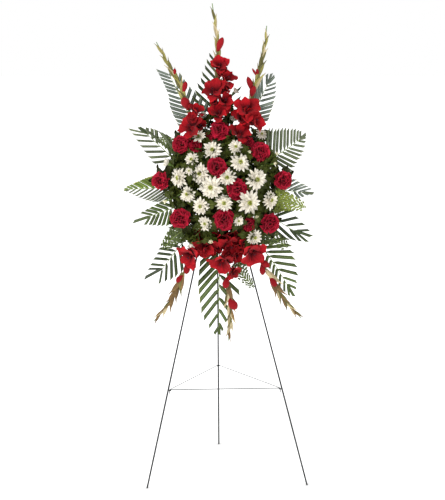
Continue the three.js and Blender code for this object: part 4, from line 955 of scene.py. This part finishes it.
class SPRAY_OT_chrysanthemums(bpy.types.Operator):
    """Models every chrysanthemum spray in place of its node."""

    bl_idname = "spray.chrysanthemums"
    bl_label = "Chrysanthemums"

    def execute(self, context):
        shapes = context.scene.spray_shapes
        rng = random.Random(shapes.seed + 1)
        sheets = [ray_sheet(0.14, 0.45, -0.08), ray_sheet(0.15, 0.5, 0.03), ray_sheet(0.17, 0.55, 0.14),
                  ray_sheet(0.26, 0.6, 0.1)]
        leaf = lobed_leaf()
        for node, heads in MUM_SPRAYS.items():
            piece = Piece("mum_ray", "mum_inner", "mum_cream", "mum_disc", "mum_eye", "stem_green",
                          "mum_leaf", "shaded_fill_leaf")
            inner = socket_of(node)
            opens = [head_pose(place, back, face)[0] for place, _, back, form, face in heads
                     if form == "open"]
            mean = sum(opens, Vector()) / len(opens)
            run = (mean - inner).normalized()
            fork = inner + run * 38
            piece.tube([inner, fork], [2.6, 2.4], 7, "stem_green")
            for place, size, back, form, face in heads:
                spot, facing = head_pose(place, back, face)
                neck = spot
                if form != "leaves":
                    neck = mum_head(piece, spot, facing, size, form, shapes.mum_rays, sheets, rng)
                bend = fork.lerp(neck - facing * 18, 0.6) + run * 8
                branch = Way([fork - run * 3, bend, neck - facing * 10, neck], 8)
                steps = [i / 9 for i in range(10)]
                piece.tube([branch.at(s) for s in steps], [1.7] * 10, 6, "stem_green")
                add_leaves(piece, branch, leaf, "mum_leaf", (0.35, 0.5, 0.62, 0.75, 0.88), 46, rng)
                if form == "open":
                    collar(piece, neck, facing, leaf, "mum_leaf", 7, size * 0.5 + 26, rng)
                    # The deeper collar takes the darker leaf, painted shade.
                    collar(piece, neck - facing * 34, facing, leaf, "shaded_fill_leaf", 5, size * 0.5 + 30, rng)
                elif form == "leaves":
                    collar(piece, spot, facing, leaf, "mum_leaf", 6, size, rng)
                    # The deeper collar takes the darker leaf, painted shade.
                    collar(piece, spot - facing * 26, facing, leaf, "shaded_fill_leaf", 5, size, rng)
                elif abs(place[0]) > 100:
                    collar(piece, neck - facing * 8, facing, leaf, "mum_leaf", 6, 44, rng)
            piece.done(node, "mum_petals")
        return {"FINISHED"}


# Gladioli

def blend_table(table, v):
    """A value read from a table of (share, value) pairs."""
    for (a, low), (b, high) in zip(table, table[1:]):
        if v <= b:
            share = (v - a) / (b - a)
            return low + (high - low) * share * share * (3 - 2 * share)
    return table[-1][1]


def gladiolus_sheets(rng):
    """Broad petals that rise out of the throat, turn back, and are ruffled at the edge."""
    outline = [(0, 0.14), (0.2, 0.2), (0.42, 0.32), (0.6, 0.38), (0.78, 0.31), (0.92, 0.15), (1, 0.01)]

    def petal(broad, first_angle, last_angle, phase):
        bend = last_angle - first_angle

        def shape(u, v):
            half = blend_table(outline, v) * broad
            angle = first_angle + bend * v
            run = (math.sin(angle) - math.sin(first_angle)) / bend
            rise = (math.cos(first_angle) - math.cos(angle)) / bend
            ruffle = 0.085 * math.sin(16 * v + phase + 2 * u) * u * u * v
            crease = 0.06 * (1 - abs(u)) ** 2 * math.sin(math.pi * v)
            hollow = 0.16 * half * u * u
            return u * half, run, rise + ruffle - crease + hollow

        return sheet(10, 10, shape, 0.012)

    return [petal(rng.uniform(0.85, 1.1), rng.uniform(0.95, 1.25), rng.uniform(-0.5, 0.2),
                  rng.uniform(0, TAU)) for _ in range(9)]


def spathe_sheet():
    """A long pointed boat-shaped bract that hugs the stem."""

    def shape(u, v):
        half = 0.14 * math.sin(math.pi * min(0.24 + 0.76 * v ** 0.75, 1)) ** 1.1
        turn = 1.2 * u
        return math.sin(turn) * half, v, -(1 - math.cos(turn)) * half * 1.3 + 0.09 * v ** 3

    return sheet(6, 8, shape, 0.016)


def stem_foot(way, target, drop):
    """The point of a stem that a floret or bud grows from."""
    return way.at(max(0, way.nearest(target) - drop / way.length))


def floret(piece, way, x, z, size, closing, sheets, rng):
    """A floret: its tube, six petals and stamens."""
    near = way.at(0.5).y
    mouth = Vector((x, near - size * 0.5, z))
    foot = stem_foot(way, mouth, size * 0.42)
    face = (mouth - foot).normalized()
    throat = foot.lerp(mouth, 0.6)
    right, top = spokes(face)
    core = size * 0.1
    tube = [foot, foot.lerp(throat, 0.45), foot.lerp(throat, 0.8), throat]
    piece.tube(tube, [3.2, 5, core * 1.05, core * 1.5], 10, "gladiolus_bud", 0.5)
    for i in range(6):
        angle = TAU * (i + 0.5) / 6
        lift = math.radians((0, 16)[i % 2] + closing + rng.uniform(-7, 7))
        out = right * math.cos(angle) + top * math.sin(angle)
        along = out * math.cos(lift) + face * math.sin(lift)
        up = face * math.cos(lift) - out * math.sin(lift)
        root = throat - face * size * 0.06 + out * core * 0.5
        turn = Matrix.Rotation(rng.uniform(-0.25, 0.25), 4, "Y")
        pose = seat(root, along, up) @ turn @ Matrix.Scale(size * 0.62 * rng.uniform(0.88, 1.06), 4)
        piece.take(rng.choice(sheets), pose, "gladiolus_petal", rng.random())
    for i in range(3):
        angle = TAU * i / 3 + 0.6
        out = right * math.cos(angle) + top * math.sin(angle)
        points = [throat, throat + face * size * 0.16 + out * 1.5, throat + face * size * 0.27 + out * 3]
        piece.tube(points, [0.9, 0.7, 0.6], 5, "gladiolus_bud", 0.7)
        tip = points[-1]
        piece.tube([tip - face * 2, tip + face, tip + face * 6], [0.7, 1.5, 0.5], 6, "anther", rng.random())


def bud(piece, foot, tip, girth, finish, rng):
    """A closed bud, a little bowed, wider past its middle."""
    bow = (tip - foot).orthogonal().normalized() * girth * rng.uniform(-0.25, 0.25)
    way = Way([foot, foot.lerp(tip, 0.5) + bow, tip], 8)
    shares = (0, 0.15, 0.35, 0.55, 0.72, 0.86, 0.95, 1)
    radii = [girth * s for s in (0.4, 0.58, 0.82, 1.0, 0.94, 0.7, 0.4, 0.1)]
    piece.tube([way.at(s) for s in shares], radii, 9, finish, rng.random())


class SPRAY_OT_gladioli(bpy.types.Operator):
    """Models every gladiolus in place of its node."""

    bl_idname = "spray.gladioli"
    bl_label = "Gladioli"

    def execute(self, context):
        rng = random.Random(context.scene.spray_shapes.seed + 2)
        sheets = gladiolus_sheets(rng)
        spathe = spathe_sheet()
        for node, plan in GLADIOLI.items():
            green = "spike_green" if "top" in node else "spike_tan"
            piece = Piece("gladiolus_petal", "gladiolus_bud", "anther", "stem_green", green, "spike_pale",
                          "spike_dark")
            way = Way(plan["stem"])
            inner = way.at(0) - way.tangent(0.02) * 24
            shares = [i / 16 for i in range(17)]
            radii = [4 - 2.6 * s for s in shares]
            piece.tube([inner, *[way.at(s) for s in shares]], [4, *radii], 8, "stem_green")
            for x, z, size, closing in plan["florets"]:
                floret(piece, way, x, z, size, closing, sheets, rng)
                self.wrap(piece, way, Vector((x, way.at(0.5).y - size * 0.5, z)), size * 0.42, 42,
                          spathe, green, rng)
            for x, z, length, girth in plan["buds"]:
                tip = Vector((x, way.at(0.5).y - length * 0.35, z))
                foot = stem_foot(way, tip, length * 0.7)
                bud(piece, foot, tip, length * girth, "gladiolus_bud", rng)
                self.wrap(piece, way, tip, length * 0.7, length * 0.72, spathe, green, rng)
            self.spike(piece, way, spathe, 0.16 if "top" in node else 0.24, green, rng)
            piece.done(node, "gladiolus_petals")
        return {"FINISHED"}

    @staticmethod
    def wrap(piece, way, tip, drop, length, spathe, finish, rng):
        """A bract that holds the foot of a floret or bud."""
        foot = stem_foot(way, tip, drop)
        run = (tip - foot).normalized()
        along = (run + way.tangent(way.nearest(foot)) * 0.8).normalized()
        pose = seat(foot - along * 4, along, (run - along * run.dot(along)).normalized())
        piece.take(spathe, pose @ Matrix.Scale(length, 4), finish, rng.random())

    @staticmethod
    def spike(piece, way, spathe, spread, finish, rng):
        """Long pointed bracts round small buds, in turn on both sides of the spike's end."""
        count = 9
        for i in range(count):
            step = i / (count - 1)
            share = 0.47 + 0.43 * step
            along = way.tangent(share)
            side = along.cross(FRONT).normalized() * (1 if i % 2 else -1)
            out = (side + FRONT * rng.uniform(0.3, 0.9)).normalized()
            run = (along + out * (spread - 0.08 * step)).normalized()
            length = (84 - 40 * step) * rng.uniform(0.92, 1.08)
            foot = way.at(share) + out * 2
            # A random pick of the spike's finish and its paler and darker finishes, painted highlight and
            # shade.
            tone = rng.choice((finish, finish, "spike_pale", "spike_dark"))
            bud(piece, foot, foot + run * length * 0.8, length * 0.07, tone, rng)
            pose = seat(foot, run, (out - run * out.dot(run)).normalized())
            tone = rng.choice((finish, finish, "spike_pale", "spike_dark"))
            piece.take(spathe, pose @ Matrix.Scale(length, 4), tone, rng.random())



# Palm and fern

def palm_leaflet(width, length, hand):
    """A folded strap, narrow at the root and cut off aslant at the end."""

    def shape(u, v):
        half = width / 2 * min(0.25 + v / 0.12, 1)
        end = 1 - 0.16 * v ** 3 * (1 + hand * u) / 2
        return u * half, v * length * end, -abs(u) * half * 0.55 - 0.04 * length * v * v

    return sheet(4, 6, shape, 0.6)


def small_leaf():
    """One pointed oval leaf of a fern."""

    def shape(u, v):
        half = 0.36 * math.sin(math.pi * min(v * 0.94 + 0.06, 1)) ** 0.7
        return u * half, v, -0.1 * abs(u) - 0.1 * v * v

    return sheet(2, 4, shape, 0.03)


def pinna(piece, pose, length, leaf, finish, rng):
    """A side branch of a fern: small leaves in pairs along a fine stalk."""
    count = max(round(length / 8), 3)
    ends = [pose @ Vector((0, length * share, 0)) for share in (0, 0.9)]
    piece.tube(ends, [0.7, 0.4], 4, "palm_rib", rng.random())
    for i in range(count):
        share = i / (count - 1)
        place = Matrix.Translation((0, length * (0.1 + 0.76 * share), 0))
        for hand in (-1, 1):
            sweep = Matrix.Rotation(-hand * math.radians(62 - 22 * share), 4, "Z")
            lean = Matrix.Rotation(rng.uniform(-0.4, 0.4), 4, "Y")
            size = Matrix.Scale(length * (0.4 - 0.13 * share) + 2, 4)
            piece.take(leaf, pose @ place @ sweep @ lean @ size, finish, rng.random())
    tip = Matrix.Translation((0, length * 0.84, 0)) @ Matrix.Scale(length * 0.32, 4)
    piece.take(leaf, pose @ tip, finish, rng.random())


def rib_of(piece, points):
    """A frond's rib, thinner to its end."""
    way = Way(points)
    inner = way.at(0) - way.tangent(0.02) * 24
    shares = [i / 14 for i in range(15)]
    radii = [2.2 - 1.3 * s for s in shares]
    piece.tube([inner, *[way.at(0.97 * s) for s in shares]], [2.2, *radii], 6, "palm_rib")
    return way


def blade_pose(foot, along, rng):
    """Where a blade that faces the front sits, leaning a little forward."""
    along = (along.normalized() + FRONT * (0.16 + rng.uniform(-0.04, 0.04))).normalized()
    up = (FRONT - along * FRONT.dot(along)).normalized()
    return seat(foot, along, up) @ Matrix.Rotation(rng.uniform(-0.12, 0.12), 4, "Y")


def foot_of(way, tip, sweep):
    """The share of the rib from which a tip is seen at an angle."""

    def miss(share):
        return abs(way.tangent(share).angle(tip - way.at(share)) - sweep)

    return min((i / 80 for i in range(8, 79)), key=miss)


class SPRAY_OT_palms(bpy.types.Operator):
    """Models every palm frond in place of its node."""

    bl_idname = "spray.palms"
    bl_label = "Palm fronds"

    def execute(self, context):
        shapes = context.scene.spray_shapes
        rng = random.Random(shapes.seed + 3)
        width = shapes.leaflet_width * 1000
        for node, plan in PALMS.items():
            (x, z), end_finish = plan["end"]
            tints = (end_finish, plan["left"][2], plan["right"][2])
            finishes = dict.fromkeys(f"palm_{tint}" for tint in tints)
            piece = Piece(*finishes, "palm_rib")
            way = rib_of(piece, plan["rib"])

            def leaflet(foot, tip, broad, tint, hand):
                blade = palm_leaflet(width * broad, (tip - foot).length * rng.uniform(1.04, 1.08), hand)
                piece.take(blade, blade_pose(foot, tip - foot, rng), f"palm_{tint}", rng.random())

            for hand, (angles, broad, tint, count, edge) in ((-1, plan["left"]), (1, plan["right"])):
                outline = Way([(edge_x, 0, edge_z) for edge_x, edge_z in edge])
                for i in range(count):
                    share = i / (count - 1)
                    sweep = math.radians(angles[0] + (angles[1] - angles[0]) * share)
                    tip = outline.at(min(max(share + rng.uniform(-0.12, 0.12) / count, 0), 1))
                    tip.y = way.at(0.3 + 0.6 * share).y
                    fine = broad * rng.uniform(0.92, 1.12) * (1 - 0.3 * share ** 2)
                    leaflet(way.at(foot_of(way, tip, sweep)), tip, fine, tint, hand)
            leaflet(way.at(0.96), Vector((x, way.at(0.96).y, z)), 1.0, end_finish, 1)
            piece.done(node, "palm_leaf")
        return {"FINISHED"}


class SPRAY_OT_fillers(bpy.types.Operator):
    """Models every fern and leafy filler in place of its node."""

    bl_idname = "spray.fillers"
    bl_label = "Fern and fillers"

    def execute(self, context):
        rng = random.Random(context.scene.spray_shapes.seed + 4)
        leaf = small_leaf()
        for node, plan in FILLERS.items():
            finish = f"fern_{plan['tint']}"
            piece = Piece(finish, "palm_rib")
            way = rib_of(piece, plan["rib"])
            pairs, bare = plan["pairs"], plan["bare"]
            for i in range(pairs):
                share = i / (pairs - 1)
                at = bare + (0.96 - bare) * (i + 0.5) / pairs
                tangent = way.tangent(at)
                for hand, (angle, first, last) in ((-1, plan["left"]), (1, plan["right"])):
                    sweep = math.radians(angle * (1.06 - 0.18 * share) + rng.uniform(-2, 2))
                    side = tangent.cross(FRONT).normalized() * hand
                    along = tangent * math.cos(sweep) + side * math.sin(sweep)
                    pinna(piece, blade_pose(way.at(at + hand * 0.004), along, rng),
                          first + (last - first) * share, leaf, finish, rng)
            pinna(piece, blade_pose(way.at(0.96), way.tangent(0.99), rng), plan["end"], leaf, finish, rng)
            piece.done(node, "fern_leaf")
        return {"FINISHED"}


class SPRAY_OT_stand(bpy.types.Operator):
    """Gives the easel, the tray, the foam and the straps their finishes."""

    bl_idname = "spray.stand"
    bl_label = "Easel and holder"

    def execute(self, context):
        tints = context.scene.spray_colours
        group = surface_group()

        def surface(name, base, spots, scale, amount, rough, bump, settings):
            return material(name, group, {
                "Colour": base, "Spots": spots, "Scale": scale, "Amount": amount, "Rough": rough,
            }, bump, settings)

        wire = surface("wire_paint", tints.wire, colour("#454946"), 90.0, 0.5, 0.4, (0.2, 0.0002),
                       {"Specular IOR Level": 0.3})
        bare = surface("bare_wire", colour("#55595a"), colour("#3f4240"), 120.0, 0.4, 0.34,
                       (0.15, 0.0001), {"Metallic": 0.3})
        tray = surface("tray_plastic", colour("#2b4530"), colour("#38553c"), 40.0, 0.4, 0.35,
                       (0.1, 0.0002), {})
        foam = surface("wet_foam", colour("#35502f"), colour("#22381f"), 70.0, 0.8, 0.75,
                       (0.9, 0.0015), {})
        tape = surface("florist_tape", colour("#3b5640"), colour("#2c4431"), 60.0, 0.5, 0.45,
                       (0.3, 0.0003), {})
        parts = {
            "easel_leg_left": wire, "easel_leg_right": wire, "easel_leg_rear": wire,
            "easel_hanger": wire, "easel_brace_front": bare, "easel_brace_left": bare,
            "easel_brace_right": bare, "easel_bolt": bare, "holder_tray": tray, "foam_block": foam,
            "holder_strap_lower": tape, "holder_strap_upper": tape,
        }
        for node, finish in parts.items():
            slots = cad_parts[node].material_slots
            if not slots:
                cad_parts[node].data.materials.append(finish)
            for slot in slots:
                slot.material = finish
        return {"FINISHED"}


class SPRAY_OT_stage(bpy.types.Operator):
    """Sets up the pale floor, the soft lights and the camera."""

    bl_idname = "spray.stage"
    bl_label = "Studio"

    def execute(self, context):
        scene = context.scene
        stage = scene.spray_stage
        scene.view_settings.view_transform = "Standard"
        bm = bmesh.new()
        bmesh.ops.create_grid(bm, x_segments=1, y_segments=1, size=40)
        mesh = bpy.data.meshes.new("floor")
        bm.to_mesh(mesh)
        bm.free()
        floor = bpy.data.objects.new("floor", mesh)
        scene.collection.objects.link(floor)
        mesh.materials.append(self.floor_paint(stage))
        world = bpy.data.worlds.new("studio")
        world.use_nodes = True
        work = Tree(world.node_tree)
        seen = work.add("ShaderNodeLightPath").outputs["Is Camera Ray"]
        strength = work.ramp(seen, 0.0, 1.0, stage.sky, 1.0)
        background = world.node_tree.nodes["Background"]
        background.inputs["Color"].default_value = (1, 1, 1, 1)
        work.tree.links.new(strength, background.inputs["Strength"])
        scene.world = world
        aim = TO_FRAME @ Vector((5, 0, 1050))
        self.lamp("key_light", (-2.0, -3.2, 3.8), aim, 1.6, stage.key)
        self.lamp("fill_light", (3.2, -2.6, 2.0), aim, 2.6, stage.key * 0.25)
        self.lamp("back_light", (1.6, 3.2, 3.4), aim, 2.0, stage.key * 0.3)
        data = bpy.data.cameras.new("camera")
        data.sensor_fit = "VERTICAL"
        data.sensor_height = 36
        data.lens = 105
        data.clip_end = 100
        camera = bpy.data.objects.new("camera", data)
        scene.collection.objects.link(camera)
        eye = TO_FRAME @ Vector((5, -5000, 1600))
        look = TO_FRAME @ Vector((5, 0, 826))
        camera.matrix_world = Matrix.Translation(eye) @ (
            look - eye).to_track_quat("-Z", "Y").to_matrix().to_4x4()
        scene.camera = camera
        return {"FINISHED"}

    @staticmethod
    def floor_paint(stage):
        """White paint that glows more with distance, so that floor and sky meet unseen, with a
        painted soft shadow under each foot."""
        paint = bpy.data.materials.new("floor_paint")
        paint.use_nodes = True
        work = Tree(paint.node_tree)
        shader = paint.node_tree.nodes["Principled BSDF"]
        place = work.add("ShaderNodeTexCoord").outputs["Object"]
        far = work.add("ShaderNodeVectorMath", {0: place}, operation="LENGTH").outputs["Value"]
        glow = work.ramp(far, 0.6, 2.6, stage.glow, 1.0)
        light = 1.0
        # Painted shadow: the floor's colour is darkened within a few centimetres of each foot.
        for leg in ("left", "right", "rear"):
            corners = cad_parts[f"easel_leg_{leg}"].data.vertices
            foot = min((vert.co for vert in corners), key=lambda spot: spot.z).copy()
            away = work.add("ShaderNodeVectorMath", {0: place, 1: foot},
                            operation="DISTANCE").outputs["Value"]
            light = work.math("MULTIPLY", light, work.ramp(away, 0.0, 0.05, 1 - stage.shade, 1.0))
        shade = work.add("ShaderNodeCombineXYZ", {0: light, 1: light, 2: light}).outputs[0]
        colour_now = work.mix(1.0, stage.floor, shade, "MULTIPLY")
        work.tree.links.new(colour_now, shader.inputs["Base Color"])
        work.tree.links.new(colour_now, shader.inputs["Emission Color"])
        work.tree.links.new(glow, shader.inputs["Emission Strength"])
        shader.inputs["Roughness"].default_value = 0.9
        return paint

    @staticmethod
    def lamp(name, place, aim, size, power):
        """A square soft light that looks at a point."""
        data = bpy.data.lights.new(name, "AREA")
        data.size = size
        data.energy = power
        lamp = bpy.data.objects.new(name, data)
        bpy.context.scene.collection.objects.link(lamp)
        spot = Vector(place)
        lamp.matrix_world = Matrix.Translation(spot) @ (
            aim - spot).to_track_quat("-Z", "Y").to_matrix().to_4x4()


class SPRAY_PT_panel(bpy.types.Panel):
    """Lists the spray's sizes, colours and steps in the sidebar."""

    bl_idname = "SPRAY_PT_panel"
    bl_label = "Funeral spray"
    bl_space_type = "VIEW_3D"
    bl_region_type = "UI"
    bl_category = "Spray"

    def draw(self, context):
        layout = self.layout
        for group in (context.scene.spray_shapes, context.scene.spray_colours, context.scene.spray_stage):
            box = layout.box()
            for name in group.__annotations__:
                box.prop(group, name)
        for operator in OPERATORS:
            layout.operator(operator.bl_idname)


OPERATORS = (SPRAY_OT_stand, SPRAY_OT_carnations, SPRAY_OT_chrysanthemums, SPRAY_OT_gladioli,
             SPRAY_OT_palms, SPRAY_OT_fillers, SPRAY_OT_stage)
CLASSES = (SprayShapes, SprayColours, StageSettings, *OPERATORS, SPRAY_PT_panel)


def register():
    """Adds the classes and their settings."""
    for item in CLASSES:
        bpy.utils.register_class(item)
    bpy.types.Scene.spray_shapes = bpy.props.PointerProperty(type=SprayShapes)
    bpy.types.Scene.spray_colours = bpy.props.PointerProperty(type=SprayColours)
    bpy.types.Scene.spray_stage = bpy.props.PointerProperty(type=StageSettings)


def unregister():
    """Takes the classes and their settings away."""
    del bpy.types.Scene.spray_stage
    del bpy.types.Scene.spray_colours
    del bpy.types.Scene.spray_shapes
    for item in reversed(CLASSES):
        bpy.utils.unregister_class(item)


def main():
    """Builds the spray step by step."""
    register()
    make_finishes(bpy.context.scene.spray_colours)
    bpy.ops.spray.stand()
    bpy.ops.spray.carnations()
    bpy.ops.spray.chrysanthemums()
    bpy.ops.spray.gladioli()
    bpy.ops.spray.palms()
    bpy.ops.spray.fillers()
    bpy.ops.spray.stage()


if __name__ == "__main__":
    main()
